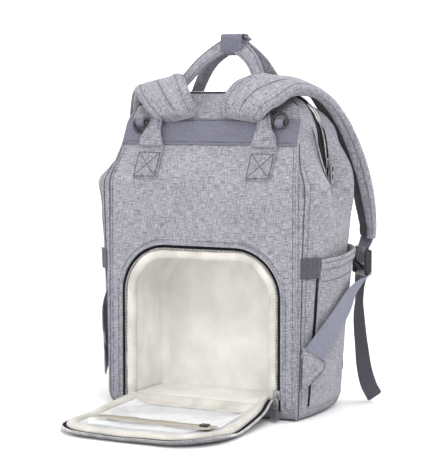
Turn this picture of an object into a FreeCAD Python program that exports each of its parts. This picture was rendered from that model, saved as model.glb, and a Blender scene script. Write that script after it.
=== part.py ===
"""Wide-mouth baby backpack with a drop-down bottle door, one STEP file per sewn or moulded piece.

Millimetres. The bag stands on the floor at z = 0 with the origin under the middle of its base.
-Y is the side with the bottle door and the shoulder straps, +Y carries the front pocket, +X is
the side with the zip slider of the main mouth.
"""
import FreeCAD
import Part
import math
import os

V = FreeCAD.Vector

# ---- driving dimensions -------------------------------------------------------------------
SEAM_X = 134.0          # half width between the side seams
FACE_Y = 68.0           # half depth between the two faces
CLOTH = 4.0             # padded fabric thickness of the body panels
SKIN = 2.0              # webbing, tape and single cloth thickness
TRAY_TOP = 22.0         # where the rounded base meets the upright panels
TRAY_ROUND = 18.0       # radius along the bottom edge
FOLD_Z = 300.0          # fold line above which each face leans in to the mouth
MOUTH_Z = 409.0         # top of the closed mouth hoop
HOOP_X = 143.0          # half width over the mouth hoop
HOOP_ROUND = 40.0       # corner radius of the mouth hoop
HOOP_END_Z = 301.0      # lower end of the mouth zip
WIRE_X, WIRE_TOP, WIRE_END_Z = 134.0, 400.4, 312.0   # spring wire inside the mouth
WIRE_THICK = 2.8
SLIDER_Z = 322.0        # mouth zip slider when the mouth is shut
BAND_LOW, BAND_HIGH = 343.0, 376.0
BAND_X = 124.0          # half width at the webbing band
GAP = 0.4               # clearance between pieces of different bodies
SEAM_GAP = 0.5          # the gusset starts this far outside the face panels

DOOR_X = 104.0          # half width of the bottle door and its opening
DOOR_TOP = 206.0        # crown of the opening above the floor
DOOR_ROUND = 54.0       # radius of its upper corners
DOOR_LONG = 186.0       # length of the door panel
DOOR_THICK = 12.0
CLEAR_LONG = 104.0      # the clear pocket on the door, from its hinge end to its zip strip
DOOR_HINGE_Y = -64.0    # hinge line of the bottle door
DOOR_GAP = 12.0         # soft hinge strip between the face and the door panel
TRIM_WIDE = 12.0        # padded trim inside the opening
TAPE_WIDE = 10.0        # zip tape around the opening
LINER_DEEP = 92.0       # depth of the bottle compartment
LINER_WALL = 4.0

PATCH_X = 81.0          # centre of each handle patch
PATCH_WIDE = 36.0
HANDLE_TOP = 472.0      # centre line of the handles at their crown
STRAP_WIDE = 56.0       # padded shoulder strap
STRAP_THICK = 12.0
WEB_WIDE = 38.0         # adjusting webbing
POCKET_TOP_NEAR, POCKET_TOP_FAR = 204.0, 212.0
RING_X, RING_Y, RING_Z = 100.0, -44.2, 372.0     # bar of each D-ring
RING_R, RING_WIRE = 9.5, 2.0
POCKET_LOW, POCKET_CLOTH = 30.0, 2.4
NEAR_CROWN_Y, FAR_CROWN_Y = 20.0, 30.5          # where the two handles meet in the wrap

# outline of the near face in the YZ plane, from the fold line to the mouth
LEAN = [(-FACE_Y, FOLD_Z), (-46.0, BAND_LOW), (-32.0, BAND_HIGH), (-9.5, 403.0)]
# how far the side gusset stands out beyond the seam, by height
BULGE = [(0.0, 8.0), (80.0, 16.0), (130.0, 21.0), (205.0, 26.0), (292.0, 34.0)]
# the slack wings above the gusset: seam line and swell, by height
WING_HEIGHTS = (292.0, 306.0, 320.0, 336.0, 352.0, 368.0, 382.0)
WING_SEAM_Y = [(292.0, -FACE_Y), (FOLD_Z, -FACE_Y), (BAND_LOW, -46.0), (BAND_HIGH, -32.0), (400.0, -14.0)]
WING_SEAM_X = [(292.0, SEAM_X), (FOLD_Z, SEAM_X), (BAND_LOW, BAND_X), (400.0, 122.0)]
WING_EAR = [(292.0, 27.0), (320.0, 22.0), (352.0, 8.0), (368.0, 3.0), (400.0, 0.0)]
EAR_FROM = 215.0        # height where the gusset starts to split into two ears
EAR = 6.0               # extra swell of each ear
VALLEY = 28.0           # depth of the fold between the ears at the mouth zip


# ---- small geometry helpers ---------------------------------------------------------------
def save(node, shape):
    """Write one node and refuse anything that is not a closed solid."""
    if not shape.isValid() or not shape.Solids:
        raise ValueError(node + " is not a valid solid")
    shape.exportStep("parts/" + node + ".step")


def box(x0, x1, y0, y1, z0, z1):
    return Part.makeBox(x1 - x0, y1 - y0, z1 - z0, V(x0, y0, z0))


def group(shapes):
    return Part.makeCompound(shapes)


def mirror_x(shape):
    return shape.mirror(V(0, 0, 0), V(1, 0, 0))


def mirror_y(shape):
    return shape.mirror(V(0, 0, 0), V(0, 1, 0))


def prism(points, direction):
    """Extrude the closed polygon through points along direction."""
    wire = Part.makePolygon(points + points[:1])
    return Part.Face(wire).extrude(direction)


def between(table, z):
    """Straight-line value of a (height, value) table at height z."""
    for (z0, a), (z1, b) in zip(table, table[1:]):
        if z <= z1:
            return a + (b - a) * (z - z0) / (z1 - z0)
    return table[-1][1]


def arch(half, low, high, radius, y0, y1):
    """Upright arch with rounded upper corners, from y0 to y1."""
    cut = radius * (1 - math.sqrt(0.5))
    points = [V(-half, y0, low), V(-half, y0, high - radius), V(half, y0, high - radius), V(half, y0, low)]
    left_mid = V(-half + cut, y0, high - cut)
    right_mid = V(half - cut, y0, high - cut)
    left_top = V(-half + radius, y0, high)
    right_top = V(half - radius, y0, high)
    edges = [
        Part.makeLine(points[0], points[1]),
        Part.Arc(points[1], left_mid, left_top).toShape(),
        Part.makeLine(left_top, right_top),
        Part.Arc(right_top, right_mid, points[2]).toShape(),
        Part.makeLine(points[2], points[3]),
        Part.makeLine(points[3], points[0]),
    ]
    return Part.Face(Part.Wire(edges)).extrude(V(0, y1 - y0, 0))


def mesh_solid(rows_a, rows_b):
    """Closed solid between two grids of points: rows_a is one skin, rows_b the other."""
    faces = []

    def triangle(p, q, r):
        if (q - p).cross(r - p).Length > 1e-6:
            faces.append(Part.Face(Part.makePolygon([p, q, r, p])))

    def quad(p, q, r, s):
        triangle(p, q, r)
        triangle(p, r, s)

    tall, wide = len(rows_a), len(rows_a[0])
    for i in range(tall - 1):
        for j in range(wide - 1):
            for rows in (rows_a, rows_b):
                quad(rows[i][j], rows[i][j + 1], rows[i + 1][j + 1], rows[i + 1][j])
        for j in (0, wide - 1):
            quad(rows_a[i][j], rows_a[i + 1][j], rows_b[i + 1][j], rows_b[i][j])
    for i in (0, tall - 1):
        for j in range(wide - 1):
            quad(rows_a[i][j], rows_a[i][j + 1], rows_b[i][j + 1], rows_b[i][j])
    shell = Part.makeShell(faces)
    solid = Part.makeSolid(shell)
    if solid.Volume < 0:
        solid.reverse()
    return solid


def ribbon(stations, thick, crown=0.0):
    """Flat strap through stations of (centre, across, width), crowned in the middle by crown."""
    rows_a, rows_b = [], []
    for k, (centre, across, width) in enumerate(stations):
        before = stations[max(k - 1, 0)][0]
        after = stations[min(k + 1, len(stations) - 1)][0]
        along = V(*after) - V(*before)
        across = V(*across).normalize()
        out = along.cross(across).normalize()
        side = out.cross(along).normalize()
        upper, lower = [], []
        for t in (-1.0, -0.6, 0.0, 0.6, 1.0):
            lift = thick / 2 + crown * (1 - t * t)
            middle = V(*centre) + side * (t * width / 2)
            upper.append(middle + out * lift)
            lower.append(middle - out * lift)
        rows_a.append(upper)
        rows_b.append(lower)
    return mesh_solid(rows_a, rows_b)


# ---- base and upright panels --------------------------------------------------------------
def base_panel():
    """Shallow tray that the bag stands on, rounded along its bottom edge."""
    half_x = SEAM_X + 8.0
    outer = box(-half_x, half_x, -FACE_Y, FACE_Y, 0, TRAY_TOP)
    uprights = [e for e in outer.Edges if abs(e.Vertexes[0].Z - e.Vertexes[1].Z) > 1]
    outer = outer.makeFillet(24.0, uprights)
    bottom = [e for e in outer.Edges if all(abs(v.Z) < 0.01 for v in e.Vertexes)]
    outer = outer.makeFillet(TRAY_ROUND, bottom)
    inner = box(-half_x + CLOTH, half_x - CLOTH, -FACE_Y + CLOTH, FACE_Y - CLOTH, CLOTH, TRAY_TOP + 1)
    uprights = [e for e in inner.Edges if abs(e.Vertexes[0].Z - e.Vertexes[1].Z) > 1]
    inner = inner.makeFillet(20.0, uprights)
    bottom = [e for e in inner.Edges if all(abs(v.Z - CLOTH) < 0.01 for v in e.Vertexes)]
    inner = inner.makeFillet(TRAY_ROUND - CLOTH, bottom)
    return outer.cut(inner)


def base_board():
    """Stiff board that lies inside the base."""
    return box(-118, 118, -46, 46, CLOTH + 0.2, CLOTH + 3.2)


def near_face_lower():
    plate = box(-SEAM_X, SEAM_X, -FACE_Y, -FACE_Y + CLOTH, TRAY_TOP + 0.2, FOLD_Z - GAP)
    return plate.cut(arch(DOOR_X, 0, DOOR_TOP, DOOR_ROUND, -FACE_Y - 5, -FACE_Y + 10))


def far_face_lower():
    return box(-SEAM_X, SEAM_X, FACE_Y - CLOTH, FACE_Y, TRAY_TOP + 0.2, FOLD_Z - GAP)


def gusset_x(z, y):
    """Outer surface of the side gusset at height z and depth y."""
    t = y / FACE_Y
    swell = between(BULGE, z) * math.sqrt(max(1 - t ** 2, 0))
    split = max(z - EAR_FROM, 0) / (292.0 - EAR_FROM)
    ears = EAR * split ** 2 * math.exp(-((abs(y) - 44) / 16) ** 2)
    valley = VALLEY * split ** 2 * math.exp(-(y / 20) ** 2)
    return SEAM_X + swell + ears - valley


def gusset():
    """Side panel below the mouth, swelling outward between its seams."""
    heights = [TRAY_TOP + 0.2, 60, 100, 140, 180, 215, 240, 262, 280, 291.0]
    depths = [-FACE_Y, -64, -56, -46, -34, -18, 0, 18, 34, 46, 56, 64, FACE_Y]
    outer, inner = [], []
    for z in heights:
        outer.append([V(gusset_x(z, y) + SEAM_GAP, y, z) for y in depths])
        inner.append([V(gusset_x(z, y) + 0.2 - CLOTH * (1 - abs(y / FACE_Y) ** 6), y, z) for y in depths])
    return mesh_solid(outer, inner)


# ---- mouth: two leaning halves that meet at the zip hoop ------------------------------------
def lean_offset(inward):
    """The leaning face outline moved inward by a distance."""
    points = []
    for k, (y, z) in enumerate(LEAN):
        y0, z0 = LEAN[max(k - 1, 0)]
        y1, z1 = LEAN[min(k + 1, len(LEAN) - 1)]
        length = math.hypot(y1 - y0, z1 - z0)
        points.append((y + (z1 - z0) / length * inward, z - (y1 - y0) / length * inward))
    return points


def near_face_upper():
    outer = [V(-150, y, z) for y, z in lean_offset(0)]
    inner = [V(-150, y, z) for y, z in lean_offset(CLOTH)]
    inner[0].z = FOLD_Z
    inner[0].y = -FACE_Y + CLOTH
    slab = prism(outer + inner[::-1], V(300, 0, 0))
    side = [V(SEAM_X, -100, FOLD_Z), V(BAND_X, -100, BAND_LOW), V(BAND_X, -100, BAND_HIGH),
            V(112, -100, 396), V(96, -100, 406), V(-96, -100, 406), V(-112, -100, 396),
            V(-BAND_X, -100, BAND_HIGH), V(-BAND_X, -100, BAND_LOW), V(-SEAM_X, -100, FOLD_Z)]
    return slab.common(prism(side, V(0, 200, 0)))


def on_lean(index, fraction, lift):
    """Point on the leaning face, part way along a segment and lifted off it, as (y, z)."""
    (y0, z0), (y1, z1) = LEAN[index], LEAN[index + 1]
    length = math.hypot(y1 - y0, z1 - z0)
    y = y0 + (y1 - y0) * fraction - (z1 - z0) / length * lift
    z = z0 + (z1 - z0) * fraction + (y1 - y0) / length * lift
    return y, z


def lean_patch(index, f0, f1, low, high, x0, x1):
    """Flat piece lying on one segment of the leaning face."""
    corners = [on_lean(index, f0, low), on_lean(index, f1, low)]
    corners += [on_lean(index, f1, high), on_lean(index, f0, high)]
    return prism([V(x0, y, z) for y, z in corners], V(x1 - x0, 0, 0))


def webbing_band():
    return lean_patch(1, 0.0, 1.0, 0.1, 0.1 + SKIN, -BAND_X, BAND_X)


def handle_patches():
    """The two stitched feet of one carrying handle."""
    feet = []
    for side in (-1, 1):
        x0, x1 = side * PATCH_X - PATCH_WIDE / 2, side * PATCH_X + PATCH_WIDE / 2
        feet.append(lean_patch(0, 0.02, 0.94, 0.1, 3.1, x0, x1))
    return group(feet)


def hoop(half, top, radius, y0, y1, wide):
    """Inverted U between two arches, used for the zip tape of the mouth."""
    outer = arch(half, HOOP_END_Z, top, radius, y0, y1)
    inner = arch(half - wide, HOOP_END_Z - 1, top - wide, radius - wide, y0 - 1, y1 + 1)
    return outer.cut(inner)


def mouth_zip_half():
    """Tape and coil along the near half of the mouth."""
    return hoop(HOOP_X, MOUTH_Z, HOOP_ROUND, -8.0, -GAP, 6.0)


def hoop_wire():
    """Sprung steel wire that holds one half of the mouth in shape."""
    half, top, radius, y, thick = WIRE_X, WIRE_TOP, HOOP_ROUND - 6.0, -3.8, WIRE_THICK / 2
    cut = radius * (1 - math.sqrt(0.5))
    start, shoulder = V(-half, y, WIRE_END_Z), V(-half, y, top - radius)
    left, right = V(-half + radius, y, top), V(half - radius, y, top)
    path = Part.Wire([
        Part.makeLine(start, shoulder),
        Part.Arc(shoulder, V(-half + cut, y, top - cut), left).toShape(),
        Part.makeLine(left, right),
        Part.Arc(right, V(half - cut, y, top - cut), V(half, y, top - radius)).toShape(),
        Part.makeLine(V(half, y, top - radius), V(half, y, WIRE_END_Z)),
    ])
    ring = Part.Wire(Part.makeCircle(thick, start, V(0, 0, 1)))
    return path.makePipeShell([ring], True, False)


def wing():
    """Slack gusset fabric between the near seam and the right leg of the mouth hoop."""
    rows_out, rows_in = [], []
    for z in WING_HEIGHTS:
        seam_y = between(WING_SEAM_Y, z)
        seam_x = between(WING_SEAM_X, z)
        ear = between(WING_EAR, z)
        leg_x = HOOP_X - 3.0 - 6.0 * max(z - 352, 0) / 48
        out, inn = [], []
        for t in (0.0, 0.12, 0.26, 0.4, 0.55, 0.7, 0.85, 1.0):
            y = seam_y + (-9.0 - seam_y) * t
            x = seam_x + 4.1 + (leg_x - 3.1 - seam_x) * t + ear * math.sin(math.pi * t ** 0.7)
            out.append(V(x, y, z))
            inn.append(V(x - 3.0, y + 1.5 * (1 - t), z))
        rows_out.append(out)
        rows_in.append(inn)
    return mesh_solid(rows_out, rows_in)


def carry_handle(crown_y):
    """One carrying handle above its patches: flat feet, rounded legs, flat crown at crown_y."""
    foot_y = -52.0
    legs = [(81, 0.0, 347, 34), (80, 0.035, 356, 20), (77, 0.12, 372, 17), (70, 0.30, 394, 17),
            (60, 0.50, 415, 18), (50, 0.67, 432, 19), (38, 0.81, 449, 20), (22, 0.93, 463, 22),
            (8, 0.99, 471, 23)]
    half = [(x, foot_y + (crown_y - foot_y) * part, z, wide) for x, part, z, wide in legs]
    stations = [((x, y, z), wide) for x, y, z, wide in half]
    stations.append(((0, crown_y, HANDLE_TOP), 23))
    stations += [((-x, y, z), wide) for x, y, z, wide in half[::-1]]
    return flat_arch(stations)


def flat_arch(stations):
    """Padded strip whose flat side faces -Y all along an arch, 7 mm thick."""
    rows_a, rows_b = [], []
    for k, (centre, width) in enumerate(stations):
        before = V(*stations[max(k - 1, 0)][0])
        after = V(*stations[min(k + 1, len(stations) - 1)][0])
        along = (after - before).normalize()
        out = V(0, -1, 0) - along * along.dot(V(0, -1, 0))
        out.normalize()
        side = along.cross(out).normalize()
        row_a, row_b = [], []
        for t in (-1.0, -0.5, 0.5, 1.0):
            lift = 3.5 if abs(t) < 1 else 1.5
            middle = V(*centre) + side * (t * width / 2)
            row_a.append(middle + out * lift)
            row_b.append(middle - out * lift)
        rows_a.append(row_a)
        rows_b.append(row_b)
    return mesh_solid(rows_a, rows_b)


def handle_wrap():
    """Webbing wrap on the near handle, open towards the far handle."""
    outer = box(-11, 12, 10.6, 36.0, 449.0, 488)
    hollow = box(-12, 13, 12.8, 37.0, 451.2, 485.8)
    return outer.cut(hollow)


def ring_loops():
    """Two webbing loops at the top of the band, each around the bar of a D-ring."""
    loops = []
    for x in (-RING_X, RING_X):
        loop = box(x - 6, x + 6, RING_Y - 4.5, -39.6, RING_Z - 5, RING_Z + 4.5)
        hole = Part.makeCylinder(RING_WIRE + 0.3, 14, V(x - 7, RING_Y, RING_Z), V(1, 0, 0))
        loops.append(loop.cut(hole))
    return group(loops)


def d_ring(x, tilt):
    """Moulded D-ring with its straight bar on the loop, turned by tilt about that bar."""
    bar = Part.makeCylinder(RING_WIRE, 2 * RING_R, V(x - RING_R, RING_Y, RING_Z), V(1, 0, 0))
    bow = Part.makeTorus(RING_R, RING_WIRE, V(x, RING_Y, RING_Z + 3.0), V(0, 1, 0))
    bow = bow.common(box(x - 20, x + 20, RING_Y - 5, RING_Y + 5, RING_Z + 3.0, RING_Z + 30))
    ring = bar.fuse(bow)
    for side in (-RING_R, RING_R):
        ring = ring.fuse(Part.makeCylinder(RING_WIRE, 3.0, V(x + side, RING_Y, RING_Z)))
        ring = ring.fuse(Part.makeSphere(RING_WIRE, V(x + side, RING_Y, RING_Z)))
    ring.rotate(V(x, RING_Y, RING_Z), V(1, 0, 0), tilt)
    return ring


# ---- bottle compartment and its door --------------------------------------------------------
def opening_tape():
    """Zip tape and coil around the bottle opening, on the outside of the near face."""
    y0, y1 = -FACE_Y - 1.6, -FACE_Y - 0.05
    outer = arch(DOOR_X + TAPE_WIDE, TRAY_TOP, DOOR_TOP + TAPE_WIDE, DOOR_ROUND + TAPE_WIDE, y0, y1)
    return outer.cut(arch(DOOR_X, 0, DOOR_TOP, DOOR_ROUND, y0 - 1, y1 + 1))


def opening_trim():
    """Padded trim just inside the opening."""
    y0, y1 = -FACE_Y + 0.5, -FACE_Y + CLOTH
    outer = arch(DOOR_X - 0.3, TRAY_TOP + 0.3, DOOR_TOP - 0.3, DOOR_ROUND - 0.3, y0, y1)
    inner = arch(DOOR_X - TRIM_WIDE, 0, DOOR_TOP - TRIM_WIDE, DOOR_ROUND - TRIM_WIDE, y0 - 1, y1 + 1)
    return outer.cut(inner)


def insulated_liner():
    """Arched insulated box behind the opening, closed at the back and below."""
    y0 = -FACE_Y + CLOTH + 0.3
    y1 = y0 + LINER_DEEP
    wall = LINER_WALL
    outer = arch(DOOR_X - 0.3, TRAY_TOP - 6, DOOR_TOP - 0.3, DOOR_ROUND - 0.3, y0, y1)
    inner = arch(DOOR_X - wall, TRAY_TOP - 6 + wall, DOOR_TOP - wall, DOOR_ROUND - wall, y0 - 1, y1 - wall)
    return outer.cut(inner)


def main_lining():
    """Lining of the upper compartment, with the padded divider as its floor."""
    outer = box(-129, 129, -62, 62, 216, 290)
    return outer.cut(box(-127.5, 127.5, -60.5, 60.5, 219, 291))


def door_piece(half, radius, start, length, z0, z1):
    """Flat arch lying on the floor, its square end at the hinge gap and its crown outward."""
    piece = arch(half, start, length, radius, z0, z1)
    piece.rotate(V(0, 0, 0), V(1, 0, 0), 90)
    piece.translate(V(0, DOOR_HINGE_Y - DOOR_GAP, 0))
    return piece


def door_ring(half, radius, length, wide, z0, z1):
    """Border strip around three sides of the door."""
    outer = door_piece(half, radius, 0, length, z0, z1)
    return outer.cut(door_piece(half - wide, radius - wide, -1, length - wide, z0 - 1, z1 + 1))


def door_shell():
    return door_piece(DOOR_X - 3, DOOR_ROUND - 3, 0, DOOR_LONG - 3, 0, 7.0)


def door_tape():
    """Zip tape and coil around the edge of the door."""
    return door_ring(DOOR_X, DOOR_ROUND, DOOR_LONG, 2.8, 2.0, 5.0)


def door_lining():
    """Padded lining with a raised binding around it."""
    pad = door_piece(DOOR_X - 5, DOOR_ROUND - 5, 2, DOOR_LONG - 5, 7.1, 9.0)
    rim = door_ring(DOOR_X - 5, DOOR_ROUND - 5, DOOR_LONG - 5, 14, 9.0, DOOR_THICK)
    rim = rim.cut(door_piece(DOOR_X, 5, -2, 2, 8, 20))
    return pad.fuse(rim)


def door_pocket():
    """Clear pocket sheet on the inside of the door, held above the lining."""
    return door_piece(DOOR_X - 20, 10, 6, CLEAR_LONG, 10.0, 10.8)


def door_pocket_zip():
    """Zip strip across the mouth of the clear pocket."""
    y = DOOR_HINGE_Y - DOOR_GAP
    return box(-82, 82, y - CLEAR_LONG - 14, y - CLEAR_LONG - 1, 9.6, 11.4)


def door_hinge_tape():
    """Soft strip between the sill of the opening and the door."""
    y = DOOR_HINGE_Y - DOOR_GAP
    x = -DOOR_X + 4
    side = [V(x, -FACE_Y - 0.6, 18), V(x, y + 1, 9.4), V(x, y + 1, 7.6), V(x, -FACE_Y - 0.6, 16)]
    return prism(side, V(-2 * x, 0, 0))


def slider(x, y, z, facing):
    """Zip slider: a short body with a raised bridge on the side it faces."""
    if facing == "-y":
        body = box(x - 4.5, x + 4.5, y - 3.4, y, z - 6, z + 6)
        bridge = box(x - 1.6, x + 1.6, y - 5.6, y - 3.2, z - 5, z + 3)
    else:
        body = box(x, x + 3.4, y - 4.5, y + 4.5, z - 6, z + 6)
        bridge = box(x + 3.2, x + 5.6, y - 1.6, y + 1.6, z - 5, z + 3)
    return body.makeFillet(1.0, body.Edges).fuse(bridge)


def pull_tab(x, y, z, length, facing):
    """Cast pull with two slots, hanging down from height z."""
    wide, thick = 11.0, 1.8
    plate = box(x - wide / 2, x + wide / 2, y - thick, y, z - length, z)
    ends = [e for e in plate.Edges if abs(e.Vertexes[0].Y - e.Vertexes[1].Y) > 1]
    plate = plate.makeFillet(4.0, ends)
    plate = plate.cut(box(x - 2.6, x + 2.6, y - 5, y + 5, z - 9, z - 3))
    plate = plate.cut(box(x - 1.8, x + 1.8, y - 5, y + 5, z - length + 5, z - 13))
    if facing == "x":
        plate.rotate(V(x, y, z), V(0, 0, 1), 90)
    return plate


# ---- pockets ---------------------------------------------------------------------------------
def pocket_stand(z, y):
    """How far the pocket panel stands off the gusset."""
    edge = 1 - 0.85 * abs((y - 11) / 56.0) ** 4
    return 1.2 + (1.0 + 9.0 * (max(z - POCKET_LOW, 0) / 178.0) ** 1.5) * edge


def side_pocket():
    """Open-topped pocket panel over the side gusset, standing off it towards the hem."""
    depths = [-45, -32, -18, 0, 18, 34, 48, 60, 67]
    heights = [POCKET_LOW, 60, 100, 140, 170, 192, 208]
    outer, inner = [], []
    for z in heights:
        row_out, row_in = [], []
        for k, y in enumerate(depths):
            top = z + (POCKET_TOP_FAR - POCKET_TOP_NEAR) * k / 8 * (z / 208.0) ** 4
            x = gusset_x(z, y) + pocket_stand(z, y)
            row_in.append(V(x, y, top))
            row_out.append(V(x + POCKET_CLOTH, y, top))
        outer.append(row_out)
        inner.append(row_in)
    return mesh_solid(outer, inner)


def pocket_elastic():
    """Elastic strip that draws the pocket hem towards the near seam."""
    outer, inner = [], []
    for z in (182.0, 194.0, 205.0):
        row_out, row_in = [], []
        for y in (-67.0, -62, -56, -50, -46):
            x = gusset_x(z, y) + 1.2 + 1.6 * (y + 67) / 21
            row_in.append(V(x, y, z))
            row_out.append(V(x + 1.6, y, z))
        outer.append(row_out)
        inner.append(row_in)
    return mesh_solid(outer, inner)


def front_pocket():
    """Padded pocket on the far face."""
    block = arch(122, 26, 252, 52, FACE_Y + 0.3, FACE_Y + 24)
    rims = [e for e in block.Edges if all(abs(v.Y - FACE_Y - 24) < 0.01 for v in e.Vertexes)]
    return block.makeFillet(9.0, rims)


def front_pocket_zip():
    """Zip along both sides and over the top of the front pocket."""
    y0, y1 = FACE_Y + 8, FACE_Y + 13
    outer = arch(124, 60, 254, 54, y0, y1)
    return outer.cut(arch(122.1, 59, 252.1, 52.1, y0 - 1, y1 + 1))


# ---- straps ----------------------------------------------------------------------------------
def shoulder_strap():
    """Right padded strap, from the band over the mouth and down behind the shoulder."""
    w = STRAP_WIDE
    stations = [
        ((41.5, -45.6, 373), (1, 0.0, 0), 48), ((47, -53.5, 389), (1, 0.02, -0.12), w),
        ((59, -48.0, 402), (1, 0.10, -0.35), w), ((77, -31.0, 417), (0.92, 0.18, -0.34), w),
        ((97, -4.0, 420), (0.78, -0.55, -0.26), w), ((116, 21.0, 412), (0.70, -0.70, -0.20), w),
        ((131, 41.0, 391), (0.70, -0.70, -0.12), w), ((144, 58.0, 359), (0.70, -0.71, -0.08), w),
        ((155, 72.0, 320), (0.68, -0.73, -0.05), w), ((163, 82.0, 276), (0.66, -0.75, -0.02), 54),
        ((166, 87.0, 240), (0.66, -0.75, 0), 50), ((165.5, 88.0, 222), (0.66, -0.75, 0), 44),
    ]
    return ribbon(stations, STRAP_THICK * 0.6, STRAP_THICK * 0.2)


def strap_tab():
    """Webbing tab that joins the pad to its ladder lock."""
    stations = [((165.4, 87.6, 219.0), (0.70, -0.71, 0), 40), ((163.4, 85.6, 214.5), (0.70, -0.71, 0), 37),
                ((161.4, 83.6, 209.6), (0.70, -0.71, 0), 32)]
    return ribbon(stations, 3.0)


def ladder_lock():
    """Moulded strap adjuster: frame with two slots."""
    frame = box(-22, 22, -4, 4, -17, 17)
    frame = frame.makeFillet(2.5, frame.Edges)
    for z in (-10.5, 2.5):
        frame = frame.cut(box(-18.5, 18.5, -6, 6, z, z + 3.6))
    frame.rotate(V(0, 0, 0), V(0, 0, 1), -45)
    frame.translate(V(159.5, 82, 190.5))
    return frame


def lower_webbing():
    """Adjusting webbing from the anchor patch up to the ladder lock."""
    w = WEB_WIDE
    stations = [((152.5, -46, 89), (-0.25, -0.78, 0.58), w), ((157.5, -38, 100), (-0.20, -0.78, 0.58), w),
                ((163, -26, 114), (-0.10, -0.80, 0.58), w), ((167, -10, 128), (0.02, -0.83, 0.56), w),
                ((169, 14, 143), (0.10, -0.86, 0.50), w), ((168.5, 40, 153), (0.28, -0.88, 0.36), w),
                ((166.5, 60, 158.5), (0.45, -0.85, 0.20), 34), ((164, 74, 163), (0.60, -0.78, 0.0), 30)]
    return ribbon(stations, SKIN)


def webbing_tail():
    """Free end of the adjusting webbing, hanging to the floor with a folded hem."""
    w = WEB_WIDE
    stations = [((152, 97, 168), (0.68, -0.73, 0), 30), ((149, 102, 150), (0.60, -0.80, 0), w),
                ((148, 104, 114), (0.45, -0.88, 0), w), ((152, 105, 74), (0.3, -0.95, 0), w),
                ((157, 105.5, 40), (0.15, -1, 0), w), ((166, 106, 14), (0, -1, 0), w),
                ((177, 106, 2.6), (0, -1, 0), w)]
    return ribbon(stations, SKIN)


def strap_anchor():
    """Three-cornered patch sewn over the near seam, holding the end of the lower webbing."""
    rows = []
    for lift in (1.6, 4.0):
        grid = []
        for s in (0.0, 0.25, 0.5, 0.75, 1.0):
            row = []
            for t in (0.0, 0.5, 1.0):
                y = -66.5 + 40.0 * s
                z = 66.0 + (t - 0.5) * 56.0 * (1 - 0.75 * s)
                over_pocket = pocket_stand(z, y) + POCKET_CLOTH if y > -50 else 0
                row.append(V(gusset_x(z, y) + over_pocket + lift, y, z))
            grid.append(row)
        rows.append(grid)
    return mesh_solid(rows[1], rows[0])


# ---- all nodes ---------------------------------------------------------------------------------
def both_sides(node, shape):
    save(node + "_right", shape)
    save(node + "_left", mirror_x(shape))


def build():
    os.makedirs("parts", exist_ok=True)
    save("base_panel", base_panel())
    save("base_board", base_board())
    save("near_face_panel", near_face_lower())
    save("far_face_panel", far_face_lower())
    both_sides("side_gusset", gusset())
    both_sides("side_pocket", side_pocket())
    both_sides("pocket_elastic", pocket_elastic())
    both_sides("strap_anchor", strap_anchor())
    both_sides("shoulder_strap", shoulder_strap())
    both_sides("strap_tab", strap_tab())
    both_sides("ladder_lock", ladder_lock())
    both_sides("lower_webbing", lower_webbing())
    both_sides("webbing_tail", webbing_tail())
    save("opening_zip_tape", opening_tape())
    save("opening_trim", opening_trim())
    save("insulated_liner", insulated_liner())
    save("main_lining", main_lining())
    save("front_pocket", front_pocket())
    save("front_pocket_zip", front_pocket_zip())

    near_wings = group([wing(), mirror_x(wing())])
    halves = {"gusset_wings": near_wings, "upper_panel": near_face_upper(), "webbing_band": webbing_band(),
              "handle_patches": handle_patches(), "hoop_wire": hoop_wire(), "mouth_zip": mouth_zip_half()}
    for name, shape in halves.items():
        save("near_" + name, shape)
        save("far_" + name, mirror_y(shape))
    save("near_handle", carry_handle(NEAR_CROWN_Y))
    save("far_handle", mirror_y(carry_handle(-FAR_CROWN_Y)))
    save("handle_wrap", handle_wrap())
    save("d_ring_loops", ring_loops())
    save("d_ring_right", d_ring(RING_X, -8))
    save("d_ring_left", d_ring(-RING_X, 180))

    save("door_shell", door_shell())
    save("door_zip_tape", door_tape())
    save("door_lining", door_lining())
    save("door_clear_pocket", door_pocket())
    save("door_pocket_zip", door_pocket_zip())
    save("door_hinge_tape", door_hinge_tape())

    save("door_zip_slider", slider(109.5, -FACE_Y - 2.0, 34, "-y"))
    save("door_zip_pull", pull_tab(109.5, -FACE_Y - 9.2, 32, 30, "y"))
    save("mouth_zip_slider", slider(HOOP_X + 0.5, 0, SLIDER_Z, "+x"))
    save("mouth_zip_pull", pull_tab(HOOP_X + 8.0, 0, SLIDER_Z - 2, 24, "x"))
    save("pocket_zip_slider", slider(124.5, FACE_Y + 10.5, 78, "+x"))
    save("pocket_zip_pull", pull_tab(132.0, FACE_Y + 10.5, 76, 31, "x"))
    strip_y = DOOR_HINGE_Y - DOOR_GAP - CLEAR_LONG - 7.5
    save("door_pocket_slider", box(64, 74, strip_y - 4.5, strip_y + 4.5, 11.6, 14.6))


build()
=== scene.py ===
import bpy
import math
import numpy as np
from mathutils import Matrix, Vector, noise


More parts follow.
